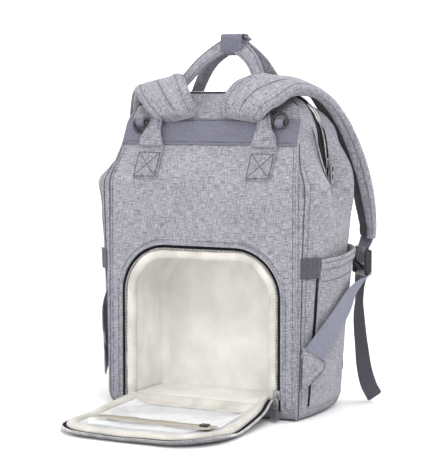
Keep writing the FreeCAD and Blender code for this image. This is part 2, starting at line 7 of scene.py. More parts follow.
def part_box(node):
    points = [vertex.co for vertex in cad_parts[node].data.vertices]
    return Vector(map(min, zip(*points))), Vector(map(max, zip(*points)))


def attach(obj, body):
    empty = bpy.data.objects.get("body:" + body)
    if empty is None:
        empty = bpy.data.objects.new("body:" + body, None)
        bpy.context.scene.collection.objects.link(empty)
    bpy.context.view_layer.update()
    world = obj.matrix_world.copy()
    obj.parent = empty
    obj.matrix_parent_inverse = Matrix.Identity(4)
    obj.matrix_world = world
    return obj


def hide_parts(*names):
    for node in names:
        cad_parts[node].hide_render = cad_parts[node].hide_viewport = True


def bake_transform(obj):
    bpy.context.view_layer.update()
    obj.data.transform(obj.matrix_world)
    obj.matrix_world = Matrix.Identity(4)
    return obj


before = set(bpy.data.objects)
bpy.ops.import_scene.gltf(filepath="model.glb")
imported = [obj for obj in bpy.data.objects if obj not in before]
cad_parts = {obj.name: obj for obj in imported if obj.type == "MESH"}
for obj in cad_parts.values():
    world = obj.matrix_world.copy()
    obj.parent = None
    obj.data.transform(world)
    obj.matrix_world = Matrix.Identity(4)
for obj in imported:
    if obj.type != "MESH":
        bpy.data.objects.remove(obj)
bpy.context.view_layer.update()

# Shapes are worked out in millimetres, in the frame's axes, and turned into metres as they are built.
MM = 0.001
HAND = {1: "right", -1: "left"}
SIDE = {-1: "near", 1: "far"}
TURN = 2 * math.pi


def span(node):
    """Lowest and highest corner of a CAD node, in millimetres."""
    low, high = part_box(node)
    return np.array(low) / MM, np.array(high) / MM


# ---- driving dimensions, read from the frame ------------------------------------------------
face_low, face_high = span("near_face_panel")
SEAM_X, FACE_Y, FOLD_Z = face_high[0], -face_low[1], face_high[2]
band_low, band_high = span("near_webbing_band")
BAND_LOW, BAND_HIGH, BAND_X = band_low[2] + 1, band_high[2] - 1, band_high[0]
MOUTH_Z = span("near_mouth_zip")[1][2]
OPEN_X, _, OPEN_TOP = span("opening_zip_tape")[1]
door_low, door_high = span("door_shell")
DOOR_NEAR, DOOR_FAR = door_high[1] + 3, door_low[1] - 5
LINER_BACK = span("insulated_liner")[1][1] - 2
pocket_low, pocket_high = span("front_pocket")
BASE_ROUND = 20.0       # radius along the bottom edge
LEAN_Y, LEAN_Z = [-FACE_Y, -46.0, -32.0, -8.0], [FOLD_Z, BAND_LOW, BAND_HIGH, MOUTH_Z - 2]
OPEN_ROUND = 64.0       # corner radius at the outer edge of the opening's tape
POCKET_LOW = 16.0       # height of the opening's foot
FOOT_ROWS = [0.8, 2.5, 5, 8, 12, POCKET_LOW]
CREST_ROWS = [395, 398, 401, 403.5, 405.5, 407]

# Spans along the fold line of each side of the mouth, shared by everything that crosses it; no bend is made
# from them here.
FOLD_BEND = {-1: ("bag_body", "near_mouth", (0, -0.06, 0.280), (0, -0.06, 0.343)),
             1: ("bag_body", "far_mouth", (0, 0.06, 0.280), (0, 0.06, 0.343))}
STRAP_BEND = ("bag_body", "near_mouth", (0.0, 0.030, 0.405), (0.0, -0.050, 0.380))
# The door is soft; this span lies beside its hinge, but no bend is made from it here.
DOOR_BEND = ("bag_body", "bottle_door", (0, -0.070, 0.011), (0, -0.100, 0.011))


# ---- materials --------------------------------------------------------------------------------
class Shader:
    """A node material with short calls for the few node types used here."""

    def __init__(self, name, rough=0.8, metal=0.0, color=(0.5, 0.5, 0.5), **values):
        self.mat = bpy.data.materials.new(name)
        self.mat.use_nodes = True
        self.tree = self.mat.node_tree
        self.bsdf = self.tree.nodes["Principled BSDF"]
        values = {"Roughness": rough, "Metallic": metal, "Base Color": (*color, 1), **values}
        for socket, value in values.items():
            self.bsdf.inputs[socket.replace("_", " ")].default_value = value

    def add(self, kind, inputs=(), **settings):
        node = self.tree.nodes.new(kind)
        for key, value in settings.items():
            setattr(node, key, value)
        for key, value in dict(inputs).items():
            node.inputs[key].default_value = value
        return node

    def feed(self, socket, value):
        """Link a node output to a socket, or set the socket to a number or colour."""
        if isinstance(value, (int, float)):
            socket.default_value = value
        elif isinstance(value, tuple):
            socket.default_value = (*value, 1)
        elif value is not None:
            self.tree.links.new(value, socket)

    def surface(self, name, value):
        self.feed(self.bsdf.inputs[name], value)

    def coords(self, scale, kind="UV"):
        """Texture coordinates stretched by scale, in repeats per metre."""
        scale = (*scale, 1) if len(scale) == 2 else scale
        mapping = self.add("ShaderNodeMapping", {"Scale": scale})
        self.feed(mapping.inputs["Vector"], self.add("ShaderNodeTexCoord").outputs[kind])
        return mapping.outputs["Vector"]

    def noise(self, scale, detail=2.0, rough=0.5, kind="UV"):
        node = self.add("ShaderNodeTexNoise", {"Scale": 1.0, "Detail": detail, "Roughness": rough},
                        noise_dimensions="2D" if kind == "UV" else "3D")
        self.feed(node.inputs["Vector"], self.coords(scale, kind))
        return node.outputs["Fac"]

    def wave(self, scale, axis):
        """Rounded ridges across the U or V axis of the cloth, scale to the metre."""
        node = self.add("ShaderNodeTexWave", {"Scale": scale / 6.2832 * 2}, bands_direction=axis,
                        wave_profile="SIN")
        self.feed(node.inputs["Vector"], self.add("ShaderNodeTexCoord").outputs["UV"])
        return node.outputs["Fac"]

    def math(self, kind, a, b, clamp=False):
        node = self.add("ShaderNodeMath", operation=kind, use_clamp=clamp)
        self.feed(node.inputs[0], a)
        self.feed(node.inputs[1], b)
        return node.outputs[0]

    def ramp(self, factor, low, dark, high, light, middle=None):
        """Colour ramp from dark at low to light at high; a number stands for a grey."""
        stops = [(low, dark), *([middle] if middle else []), (high, light)]
        node = self.add("ShaderNodeValToRGB")
        ramp = node.color_ramp
        while len(ramp.elements) < len(stops):
            ramp.elements.new(0.5)
        for element, (place, color) in zip(ramp.elements, stops):
            element.position = place
            element.color = (*color, 1) if isinstance(color, tuple) else (color, color, color, 1)
        self.feed(node.inputs["Fac"], factor)
        return node.outputs["Color"]

    def multiply(self, a, b):
        node = self.add("ShaderNodeMix", data_type="RGBA", blend_type="MULTIPLY")
        for socket, value in ((node.inputs["Factor"], 1.0), (node.inputs[6], a), (node.inputs[7], b)):
            self.feed(socket, value)
        return node.outputs[2]

    def bump(self, height, distance, strength=1.0):
        node = self.add("ShaderNodeBump", {"Distance": distance, "Strength": strength})
        self.feed(node.inputs["Height"], height)
        self.surface("Normal", node.outputs["Normal"])


def tinted(color, share):
    return tuple(c * share for c in color)


def melange(name, dark, mid, light):
    """Plain-weave melange: pale and dark slubs along both thread directions."""
    s = Shader(name, rough=0.92, Sheen_Weight=0.25, Sheen_Roughness=0.45, Specular_IOR_Level=0.25)
    weft = s.noise((105, 1150), 3.0, 0.66)
    warp = s.noise((1250, 115), 3.0, 0.66)
    cloud = s.noise((22, 26), 2.0, 0.5)
    threads = s.math("MULTIPLY", s.math("ADD", weft, warp), 0.5)
    value = s.math("ADD", s.math("MULTIPLY", threads, 0.94), s.math("MULTIPLY", cloud, 0.06))
    ground = s.ramp(value, 0.38, dark, 0.61, light, middle=(0.50, mid))
    slub = s.math("MINIMUM", s.noise((46, 760), 1.0, 0.5), s.noise((760, 46), 1.0, 0.5))
    s.surface("Base Color", s.multiply(ground, s.ramp(slub, 0.25, (0.68, 0.68, 0.70), 0.34, 1.03)))
    weave = s.math("MULTIPLY", s.wave(1100, "X"), s.wave(1100, "Y"))
    s.bump(s.math("ADD", s.math("MULTIPLY", weave, 0.5), threads), 0.0006, 0.55)
    return s.mat


def webbing(name, dark, light, ribs=650, rough=0.7, sheen=0.15):
    """Close-ribbed narrow webbing, ribs running along its length (V)."""
    s = Shader(name, rough=rough, Sheen_Weight=sheen, Specular_IOR_Level=0.3 if sheen else 0.06)
    rib = s.wave(ribs, "X")
    twill = s.wave(ribs * 1.6, "Y")
    fleck = s.noise((500, 180), 3.0, 0.6)
    value = s.math("ADD", s.math("MULTIPLY", rib, 0.35), s.math("MULTIPLY", fleck, 0.65))
    s.surface("Base Color", s.ramp(value, 0.25, dark, 0.75, light))
    s.bump(s.math("ADD", rib, s.math("MULTIPLY", twill, 0.5)), 0.0007, 0.6)
    return s.mat


def spacer_mesh(name, dark, light):
    """Open knitted spacer mesh, the skin-side lining of the straps."""
    s = Shader(name, rough=0.9)
    node = s.add("ShaderNodeTexVoronoi", {"Scale": 1.0, "Randomness": 0.25}, voronoi_dimensions="2D")
    s.feed(node.inputs["Vector"], s.coords((420, 330)))
    hole = node.outputs["Distance"]
    s.surface("Base Color", s.ramp(hole, 0.15, dark, 0.45, light))
    s.bump(hole, 0.0008, 0.7)
    return s.mat


def lining(name, dark, light, weave=900, rough=0.6, crinkle=0.5):
    """Smooth lining cloth with a fine weave and soft creases."""
    s = Shader(name, rough=rough, Sheen_Weight=0.1)
    s.surface("Base Color", s.ramp(s.noise((30, 24), 3.0, 0.5), 0.3, dark, 0.7, light))
    fine = s.math("MULTIPLY", s.wave(weave, "X"), s.wave(weave, "Y"))
    crease = s.noise((40, 55), 3.0, 0.6)
    s.bump(s.math("ADD", s.math("MULTIPLY", fine, 0.12), s.math("MULTIPLY", crease, crinkle)), 0.0015, 0.6)
    return s.mat


def metal(name, color, rough=0.28):
    """Plated die-cast metal with faint tumbling marks and a blotchy tone."""
    s = Shader(name, rough=rough, metal=1.0)
    marks = s.noise((900, 900, 900), 3.0, 0.6, "Object")
    stain = s.noise((120, 120, 120), 2.0, 0.5, "Object")
    s.surface("Base Color", s.ramp(stain, 0.3, tinted(color, 0.72), 0.65, color))
    s.surface("Roughness", s.ramp(marks, 0.2, rough * 0.7, 0.8, rough * 1.5))
    s.bump(marks, 0.0001, 0.4)
    return s.mat


def plastic(name, color, rough=0.22):
    """Glossy moulded plastic with a faint orange-peel skin."""
    s = Shader(name, rough=rough)
    peel = s.noise((1400, 1400, 1400), 2.0, 0.5, "Object")
    tone = s.noise((60, 60, 60), 2.0, 0.5, "Object")
    s.surface("Base Color", s.ramp(tone, 0.3, tinted(color, 0.8), 0.7, tinted(color, 1.3)))
    s.surface("Roughness", s.ramp(tone, 0.2, rough * 0.8, 0.8, rough * 1.5))
    s.bump(peel, 0.00008, 0.5)
    return s.mat


def film(name):
    """Clear soft vinyl: mostly see-through, glossy, with shallow waves."""
    s = Shader(name, rough=0.12, color=(0.93, 0.94, 0.95))
    wave = s.noise((26, 18), 2.0, 0.5)
    s.bump(wave, 0.004, 0.6)
    s.surface("Alpha", s.ramp(wave, 0.3, 0.20, 0.7, 0.34))
    return s.mat


def thread(name, color):
    """Twisted sewing thread."""
    s = Shader(name, rough=0.7)
    twist = s.noise((2500, 2500, 2500), 2.0, 0.5, "Object")
    s.surface("Base Color", s.ramp(twist, 0.3, tinted(color, 0.75), 0.7, color))
    s.bump(twist, 0.0002, 0.6)
    return s.mat


MELANGE = melange("melange_fabric", (0.125, 0.123, 0.143), (0.245, 0.240, 0.275), (0.39, 0.385, 0.425))
HANDLE_CLOTH = melange("melange_handles", (0.115, 0.113, 0.132), (0.218, 0.214, 0.248), (0.35, 0.345, 0.385))
SLATE = webbing("webbing_slate", (0.105, 0.104, 0.140), (0.185, 0.184, 0.240))
BLUE_WEB = webbing("webbing_light", (0.155, 0.16, 0.215), (0.25, 0.255, 0.33), 900)
# Dark webbing: the pocket elastic's own colour, and on the free tail a painted shade, a darker copy of the
# adjusting webbing.
DARK_ELASTIC_AND_SHADED_TAIL_WEB = webbing("webbing_dark_elastic_and_tail_shade", (0.05, 0.05, 0.068), (0.10, 0.10, 0.13), 900)
MESH_CLOTH = spacer_mesh("strap_mesh", (0.018, 0.018, 0.023), (0.075, 0.075, 0.09))
CREAM = lining("cream_lining", (0.68, 0.665, 0.63), (0.78, 0.77, 0.745), crinkle=0.35)
CREAM_TRIM = lining("cream_trim", (0.43, 0.405, 0.365), (0.60, 0.58, 0.54), weave=1100, crinkle=0.3)
WHITE_LINING = lining("pocket_lining", (0.52, 0.52, 0.52), (0.66, 0.665, 0.68), crinkle=0.4)
GREY_LINING = lining("grey_lining", (0.13, 0.13, 0.15), (0.19, 0.19, 0.21), rough=0.8)
# Black zip tape; also the near-black painted shade in the side pockets' slits.
BLACK_TAPE_AND_SLIT_SHADE = webbing("zip_tape", (0.006, 0.006, 0.008), (0.016, 0.016, 0.020), 1100, 0.85, 0.0)
BEIGE_TAPE = webbing("beige_zip", (0.33, 0.295, 0.24), (0.47, 0.43, 0.36), 1100, 0.85)
SILVER_COIL = metal("coil_silver", (0.78, 0.77, 0.75), 0.32)
NICKEL = metal("zip_metal", (0.40, 0.40, 0.42), 0.34)
GUNMETAL = metal("gunmetal", (0.075, 0.07, 0.072), 0.35)
STEEL = metal("spring_wire", (0.5, 0.5, 0.52), 0.35)
BLACK_PLASTIC = plastic("moulded_plastic", (0.018, 0.018, 0.021))
BOARD = plastic("stiff_board", (0.06, 0.06, 0.07), 0.6)
CLEAR = film("clear_film")
# Sewing thread colour; also used as the painted shadow pipe beside the seam piping.
GREY_THREAD_AND_SEAM_SHADOW = thread("thread_grey_and_seam_shadow", (0.055, 0.055, 0.068))
PALE_THREAD = thread("thread_pale", (0.62, 0.58, 0.50))


# ---- mesh tools --------------------------------------------------------------------------------
def ripple(x, y, z):
    """Smooth noise around zero."""
    return noise.noise(Vector((x, y, z)))


def unit(vectors):
    return vectors / np.linalg.norm(vectors, axis=-1, keepdims=True)


def tangents(path):
    return unit(np.gradient(path, axis=0))


def run_of(path):
    """Distance along a path at each of its points."""
    return np.concatenate([[0], np.cumsum(np.linalg.norm(np.diff(path, axis=0), axis=1))])


def read_off(path, run, places):
    """Points of a path at given distances along it."""
    return np.stack([np.interp(places, run, column) for column in path.T], axis=-1)


def grid(point, across, down):
    """Rows of points: a row for each value down, and in it a point for each value across."""
    return [[point(a, d) for a in across] for d in down]


def resample(points, count):
    """Points of a smooth curve through the given rows (x, y, z and any extra columns), evenly spaced."""
    p = np.array(points, float)
    chord = np.maximum(np.linalg.norm(np.diff(p[:, :3], axis=0), axis=1), 1e-6)
    t = np.concatenate([[0], np.cumsum(chord)])
    slope = np.gradient(p, t, axis=0)
    fine = np.linspace(0, t[-1], max(count * 6, 60))
    k = np.clip(np.searchsorted(t, fine, side="right") - 1, 0, len(t) - 2)
    h = (t[k + 1] - t[k])[:, None]
    s = ((fine - t[k]) / h[:, 0])[:, None]
    curve = ((1 + 2 * s) * (1 - s) ** 2 * p[k] + s * (1 - s) ** 2 * h * slope[k]
             + s ** 2 * (3 - 2 * s) * p[k + 1] + s ** 2 * (s - 1) * h * slope[k + 1])
    run = run_of(curve[:, :3])
    return read_off(curve, run, np.linspace(0, run[-1], count))


def new_object(name, verts, faces):
    mesh = bpy.data.meshes.new(name)
    mesh.from_pydata(verts, [], faces)
    obj = bpy.data.objects.new(name, mesh)
    bpy.context.scene.collection.objects.link(obj)
    return obj


def mesh_from_rows(name, rows, wrap=False, caps=False):
    """Grid mesh in metres from rows of points in millimetres; UVs measure the cloth in metres."""
    rows = np.array(rows, float)
    tall, wide = rows.shape[:2]
    loop_cols = wide if wrap else wide - 1
    verts = [tuple(p * MM) for row in rows for p in row]
    step_u = np.linalg.norm(np.diff(np.concatenate([rows, rows[:, :1]], axis=1), axis=1), axis=2).mean(0)
    step_v = np.linalg.norm(np.diff(rows, axis=0), axis=2).mean(1)
    u = np.concatenate([[0], np.cumsum(step_u)]) * MM
    v = np.concatenate([[0], np.cumsum(step_v)]) * MM
    faces, uvs = [], []
    for i in range(tall - 1):
        for j in range(loop_cols):
            n = (j + 1) % wide
            faces.append((i * wide + j, i * wide + n, (i + 1) * wide + n, (i + 1) * wide + j))
            uvs += [(u[j], v[i]), (u[j + 1], v[i]), (u[j + 1], v[i + 1]), (u[j], v[i + 1])]
    for i in (0, tall - 1) if caps else ():
        centre = len(verts)
        verts.append(tuple(rows[i].mean(0) * MM))
        for j in range(loop_cols):
            edge = (i * wide + j, i * wide + (j + 1) % wide)
            faces.append((*edge, centre) if i else (*edge[::-1], centre))
            uvs += [(u[j], v[i]), (u[j + 1], v[i]), ((u[j] + u[j + 1]) / 2, v[i] + 0.003)]
    obj = new_object(name, verts, faces)
    layer = obj.data.uv_layers.new(name="cloth")
    for k, pair in enumerate(uvs):
        layer.data[k].uv = pair
    obj.data.validate()
    return obj


def bake_modifiers(obj):
    """Replace the mesh by its evaluated shape and clear the modifiers."""
    graph = bpy.context.evaluated_depsgraph_get()
    shape = obj.evaluated_get(graph)
    mesh = bpy.data.meshes.new_from_object(shape, preserve_all_data_layers=True, depsgraph=graph)
    obj.modifiers.clear()
    obj.data = mesh
    for face in mesh.polygons:
        face.use_smooth = True
    return obj


def dressed(obj, materials, thick=0.0, levels=1, inner=0, offset=-1.0):
    """Give a cloth sheet its materials, thickness in millimetres and a subdivision."""
    for material in materials:
        obj.data.materials.append(material)
    if thick:
        solid = obj.modifiers.new("thick", "SOLIDIFY")
        solid.thickness = thick * MM
        solid.offset = offset
        solid.material_offset = inner
    if levels:
        smooth = obj.modifiers.new("smooth", "SUBSURF")
        smooth.levels = smooth.render_levels = levels
    return bake_modifiers(obj)


def placed(obj, body, slot, *nodes):
    """Hand a finished piece to the frame: its body and the nodes it stands for; the slot argument is not
    used.
    """
    if isinstance(body, str):
        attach(obj, body)
    else:
        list(body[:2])
        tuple(body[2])
        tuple(body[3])
        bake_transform(obj)
    if nodes:
        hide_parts(*nodes)
    return obj


def sheet(name, rows, materials, thick, body, slot, *nodes, wrap=False, lay=None, **dress):
    """Cloth built from rows of points, dressed and handed to the frame; lay straightens its weave."""
    obj = mesh_from_rows(name, rows, wrap=wrap)
    if lay is not None:
        planar_uv(obj, lay)
    return placed(dressed(obj, materials, thick, **dress), body, slot, *nodes)


def frames_along(path, out=None):
    """Side and outward unit vectors at each point of a path."""
    along = tangents(path)
    if out is None:
        guess = np.array([0, 0, 1.0]) if abs(along[0][2]) < 0.9 else np.array([1.0, 0, 0])
        out = []
        for a in along:
            guess = unit(guess - a * a.dot(guess))
            out.append(guess)
        out = np.array(out)
    else:
        out = np.broadcast_to(np.array(out, float), path.shape)
        out = unit(out - along * (along * out).sum(1)[:, None])
    return np.cross(along, out), out


def sweep(name, path, section, out=None, caps=True):
    """Closed section (side, out) swept along a path."""
    path = np.array(path, float)
    rows = [[p + s * a + u * b for a, b in section] for p, s, u in zip(path, *frames_along(path, out))]
    return mesh_from_rows(name, rows, wrap=True, caps=caps)


def oval(half_wide, half_thick, count=16, power=1.0):
    """Closed rounded section; a low power squares it off."""
    def squared(value):
        return math.copysign(abs(value) ** power, value)

    angles = [TURN * k / count for k in range(count)]
    return [(half_wide * squared(math.cos(a)), half_thick * squared(math.sin(a))) for a in angles]


def strap(name, stations, thick, count=60, power=0.7, around=20):
    """Flat strap through (centre, across, width, thickness scale) stations, with rounded edges."""
    rows = resample([[*c, *unit(np.array(a, float)), w, k] for c, a, w, k in stations], count)
    path = rows[:, :3]
    along = tangents(path)
    out = unit(np.cross(along, rows[:, 3:6]))
    side = np.cross(out, along)
    ring = oval(0.5, 0.5, around, power)
    lines = [[p + s * a * w + o * b * thick * k for a, b in ring]
             for p, s, o, w, k in zip(path, side, out, rows[:, 6], rows[:, 7])]
    return mesh_from_rows(name, lines, wrap=True, caps=True), path, side, out, rows


def coil(name, path, out, body, slot, radius=1.05, pitch=1.7, wire=0.42, material=SILVER_COIL):
    """Zip coil: a fine helix of wire along a path."""
    path = np.array(path, float)
    run = run_of(path)
    s = np.linspace(0, run[-1], int(run[-1] / pitch * 8))
    centre = read_off(path, run, s)
    side, up = frames_along(centre, out)
    angle = TURN * s / pitch
    helix = centre + side * (np.cos(angle) * radius)[:, None] + up * (np.sin(angle) * radius)[:, None]
    obj = sweep(name, helix, oval(wire, wire, 4), caps=False)
    return placed(dressed(obj, [material], levels=0), body, slot)


def stitches(name, path, out, pitch=3.4, length=2.3, wide=0.35, high=0.28, material=GREY_THREAD_AND_SEAM_SHADOW):
    """A row of sewn stitches along a path, each a small rounded bar of thread."""
    path, out = np.array(path, float), np.array(out, float)
    run = run_of(path)
    verts, faces = [], []
    for k in range(max(int(run[-1] / pitch), 1)):
        start, end = (read_off(path, run, s) for s in (k * pitch, k * pitch + length))
        along = end - start
        if np.linalg.norm(along) < 0.1:
            continue
        along = unit(along)
        normal = out if out.ndim == 1 else out[min(int(k * pitch / run[-1] * len(out)), len(out) - 1)]
        normal = unit(normal - along * along.dot(normal))
        side = np.cross(along, normal)
        first = len(verts)
        for place, fat in ((start - along * 0.15, 0.45), (start + along * 0.4, 1), (end - along * 0.4, 1),
                           (end + along * 0.15, 0.45)):
            for a, b in ((-1, -0.6), (-0.6, 0.8), (0.6, 0.8), (1, -0.6)):
                verts.append(tuple((place + side * a * wide * fat + normal * b * high * fat) * MM))
        for i in range(3):
            for j in range(4):
                a, b = first + i * 4 + j, first + i * 4 + (j + 1) % 4
                faces.append((a, b, b + 4, a + 4))
        faces.append(tuple(first + j for j in (3, 2, 1, 0)))
        faces.append(tuple(first + 12 + j for j in (0, 1, 2, 3)))
    return dressed(new_object(name, verts, faces), [material], levels=0)


def sew(name, path, out, body, slot, *sizes, **thread_kind):
    """A row of stitches handed to the frame."""
    return placed(stitches(name, path, out, *sizes, **thread_kind), body, slot)


def pipe(name, path, radius, material, body, out=None):
    """Corded piping along a path."""
    obj = sweep(name, path, oval(radius, radius, 8), out=out)
    return placed(dressed(obj, [material]), body, "melange_fabric")


def joined(objs, name):
    """One object holding the meshes of several."""
    base = objs[0]
    with bpy.context.temp_override(active_object=base, selected_editable_objects=objs, selected_objects=objs):
        bpy.ops.object.join()
    base.name = base.data.name = name
    return base


def planar_uv(obj, side=0):
    """Lay the cloth straight: UVs follow x and z, or y and z on the gussets."""
    layer = obj.data.uv_layers[0]
    axis = 1 if side else 0
    for loop in obj.data.loops:
        co = obj.data.vertices[loop.vertex_index].co
        layer.data[loop.index].uv = (co[axis] + side * 0.7, co.z)


# ---- outline of the bag -------------------------------------------------------------------------
def soft(table_z, table_v, z, reach=7.0):
    """Value of a polyline at z, with its corners rounded over reach."""
    return float(np.mean([np.interp(z + d, table_z, table_v) for d in np.linspace(-reach, reach, 9)]))


def round_under(z):
    """How far the outline draws in near the floor."""
    return 1 - math.sqrt(max(1 - ((BASE_ROUND - z) / BASE_ROUND) ** 2, 0)) if z < BASE_ROUND else 0.0


def seam_x(z):
    wide = soft([0, FOLD_Z, BAND_LOW, BAND_HIGH, 392, 403, 409],
                [SEAM_X, SEAM_X, BAND_X + 1, BAND_X, 115, 99, 84], z, 5)
    return wide - 9.0 * round_under(z)


def seam_y(z):
    return soft([0] + LEAN_Z, [-FACE_Y] + LEAN_Y, z) + BASE_ROUND * round_under(z)


def gusset_bulge(z, y):
    """How far the side gusset stands out beyond the seam."""
    t = min(abs(y) / -seam_y(z), 1.0)
    swell = np.interp(z, [0, 14, 80, 130, 205, 292], [5, 9, 16, 21, 26, 34])
    split = np.clip((z - 215.0) / 77.0, 0, 1) ** 2
    rise = math.sqrt(max(1 - t ** 2, 0))
    lips, dip = math.exp(-((abs(y) - 44) / 16) ** 2), math.exp(-(y / 20) ** 2)
    return swell * rise + split * (6.0 * lips - 28.0 * dip)


def side_x(z, y):
    """Half width of the bag at the gusset, at height z and depth y."""
    return seam_x(z) + gusset_bulge(z, y)


def leg_x(z):
    """Outer edge of the closed mouth zip at z, on its legs."""
    return float(np.interp(z, [284, 324, 344, 363, 378, 394], [142.5, 144, 142, 138, 132, 122]))


def smooth_step(value, start, end):
    s = min(max((value - start) / (end - start), 0.0), 1.0)
    return s * s * (3 - 2 * s)


def gusset_point(z, t, lift=0.0, side=-1):
    """Near half of the right gusset: t runs from the seam, 0, to the middle or the mouth zip, 1."""
    end_y = -3.0 * smooth_step(z, 290, 306)
    y = seam_y(z) * (1 - t) + end_y * t
    low_x = seam_x(z) + gusset_bulge(min(z, 296), y)
    if side < 0:
        ear = np.interp(z, [292, 300, 312, 326, 352, 400], [27, 24, 13, 6, 1, 0])
    else:
        ear = np.interp(z, [292, 320, 352, 368, 384, 400], [27, 26, 19, 15, 8, 0])
    high_x = seam_x(z) * (1 - t) + leg_x(z) * t + ear * math.sin(math.pi * t ** 0.7)
    k = smooth_step(z, 278, 306)
    return np.array([low_x * (1 - k) + high_x * k + lift, y, z])


def wall_normal(z, side=-1):
    """Outward direction of the near, -1, or far, 1, wall at a height."""
    slope = (seam_y(z + 2) - seam_y(z - 2)) / 4
    return np.array([0, side, slope]) / math.hypot(1, slope)


def wall(x, z, lift=0.0, side=-1):
    """Point on the near, -1, or far, 1, wall of the bag, lifted outwards."""
    crown = 3.0 * max(1 - abs(x / seam_x(z)) ** 5, 0) * np.interp(z, [0, 40, 250, 330], [0.3, 1, 1, 0])
    return np.array([x, -side * seam_y(z), z]) + wall_normal(z, side) * (lift + crown)


def hand_rows(rows, hand):
    """Rows made for the right side, turned over for the left."""
    return np.array(rows) if hand > 0 else np.array(rows)[:, ::-1] * np.array([-1, 1, 1])


# ---- walls ---------------------------------------------------------------------------------------
def wall_creases(p):
    """Shallow creases of the quilted wall, in millimetres."""
    edge = min(1.0, (seam_x(p[2]) - abs(p[0])) / 22.0)
    return (1.6 * ripple(p[0] / 46, p[1] / 70, p[2] / 38)
            + 0.6 * ripple(p[0] / 19 + 7, p[1] / 30, p[2] / 24)) * max(edge, 0)


def arch_hit(direction, half, top, radius):
    """Distance from the foot of an arch, at its middle, to its outline along a direction."""
    cx, cz = half - radius, top - radius
    dx, dz = abs(direction[0]), direction[1]
    best = half / max(dx, 1e-6)
    if best * dz <= cz:
        return best
    best = top / max(dz, 1e-6)
    if best * dx <= cx:
        return best
    b = dx * cx + dz * cz
    return b + math.sqrt(max(b * b - (cx * cx + cz * cz - radius * radius), 0))


def near_wall():
    """Front of the bag, with the arched opening left open: a foot, a ring round the arch and a top."""
    low, split, wide = POCKET_LOW, OPEN_TOP + 40, OPEN_X
    feet = np.linspace(wide, SEAM_X, 12) / SEAM_X
    across = np.concatenate([-feet[::-1], np.linspace(-wide, wide, 40)[1:-1] / SEAM_X, feet])
    parts = [mesh_from_rows("near_foot", grid(lambda x, z: wall(x * seam_x(z), z), across, FOOT_ROWS))]
    corner = math.atan2(split - low, SEAM_X)
    angles = np.concatenate([np.linspace(0, corner, 18), np.linspace(corner, math.pi - corner, 44)[1:-1],
                             np.linspace(math.pi - corner, math.pi, 18)])

    def spoke(a, k):
        direction = np.array([math.cos(a), math.sin(a)])
        inner = arch_hit(direction, wide, OPEN_TOP - low, OPEN_ROUND)
        outer = min(SEAM_X / max(abs(direction[0]), 1e-6), (split - low) / max(direction[1], 1e-6))
        r = inner + (outer - inner) * k
        return wall(r * direction[0], low + r * direction[1])

    parts.append(mesh_from_rows("near_ring", grid(spoke, angles[::-1], np.linspace(0, 1, 12))))
    across = (split - low) / np.tan(angles[17:-17][::-1]) / SEAM_X
    heights = np.concatenate([np.linspace(split, 392, 42), CREST_ROWS])
    parts.append(mesh_from_rows("near_top", grid(lambda x, z: wall(x * seam_x(z), z), across, heights)))
    obj = joined(parts, "near_wall")
    obj.modifiers.new("weld", "WELD").merge_threshold = 0.4 * MM
    bake_modifiers(obj)
    for v in obj.data.vertices:
        v.co.y -= wall_creases(np.array(v.co) / MM) * MM
    planar_uv(obj)
    dressed(obj, [MELANGE, GREY_LINING], 2.4, inner=1)
    placed(obj, FOLD_BEND[-1], "melange_fabric", "near_face_panel", "near_upper_panel")


def far_wall():
    heights = np.concatenate([FOOT_ROWS, np.linspace(24, 392, 70), CREST_ROWS])
    rows = grid(lambda x, z: wall(-x * seam_x(z), z, side=1), np.linspace(-1, 1, 61), heights)
    obj = mesh_from_rows("far_wall", rows)
    for v in obj.data.vertices:
        v.co.y += wall_creases(np.array(v.co) / MM + np.array([90, 0, 40])) * MM * 0.6
    dressed(obj, [MELANGE, GREY_LINING], 2.4, inner=1)
    placed(obj, FOLD_BEND[1], "melange_fabric", "far_face_panel", "far_upper_panel")


def gusset_half(hand, side):
    """One of the four side quarters, from its seam to the middle of the side or to the mouth zip."""
    def point(t, z):
        p = gusset_point(z, t, side=side)
        fade = math.sin(math.pi * min(t * 1.3, 1)) * np.interp(z, [0, 30, 380, 394], [0, 1, 1, 0])
        fold = ripple(hand * 5.1, p[1] / 26 * side, p[2] / 52)
        fold += 0.6 * ripple(hand * 9.3, p[1] / 11 * side, p[2] / 30)
        p[0] += 2.6 * fold * fade * (0.5 + 0.8 * smooth_step(z, 180, 300))
        return p * np.array([hand, -side, 1])

    rows = grid(point, np.linspace(0, 1, 33), np.concatenate([FOOT_ROWS, np.linspace(24, 394, 92)]))
    if hand * side > 0:
        rows = [row[::-1] for row in rows]
    sheet(f"{SIDE[side]}_gusset_{HAND[hand]}", rows, [MELANGE, GREY_LINING], 2.2, FOLD_BEND[side],
          "melange_fabric", f"side_gusset_{HAND[hand]}", f"{SIDE[side]}_gusset_wings", inner=1)


def base_pan():
    """Bottom of the bag inside its rounded edge."""
    def point(x, y):
        p = np.array([x * 137 * (1 - 0.045 * abs(y) ** 3), y * 52, 1.2 + 0.8 * max(abs(x), abs(y)) ** 6])
        q = p / 40
        p[2] += (ripple(*q) + 0.5 * ripple(*(q * 2.3))) * 0.5
        return p

    rows = grid(point, np.linspace(-1, 1, 49), np.linspace(-1, 1, 25))
    sheet("base_pan", rows, [MELANGE, GREY_LINING], 1.0, "bag_body", "melange_fabric", "base_panel", inner=1,
          offset=1)


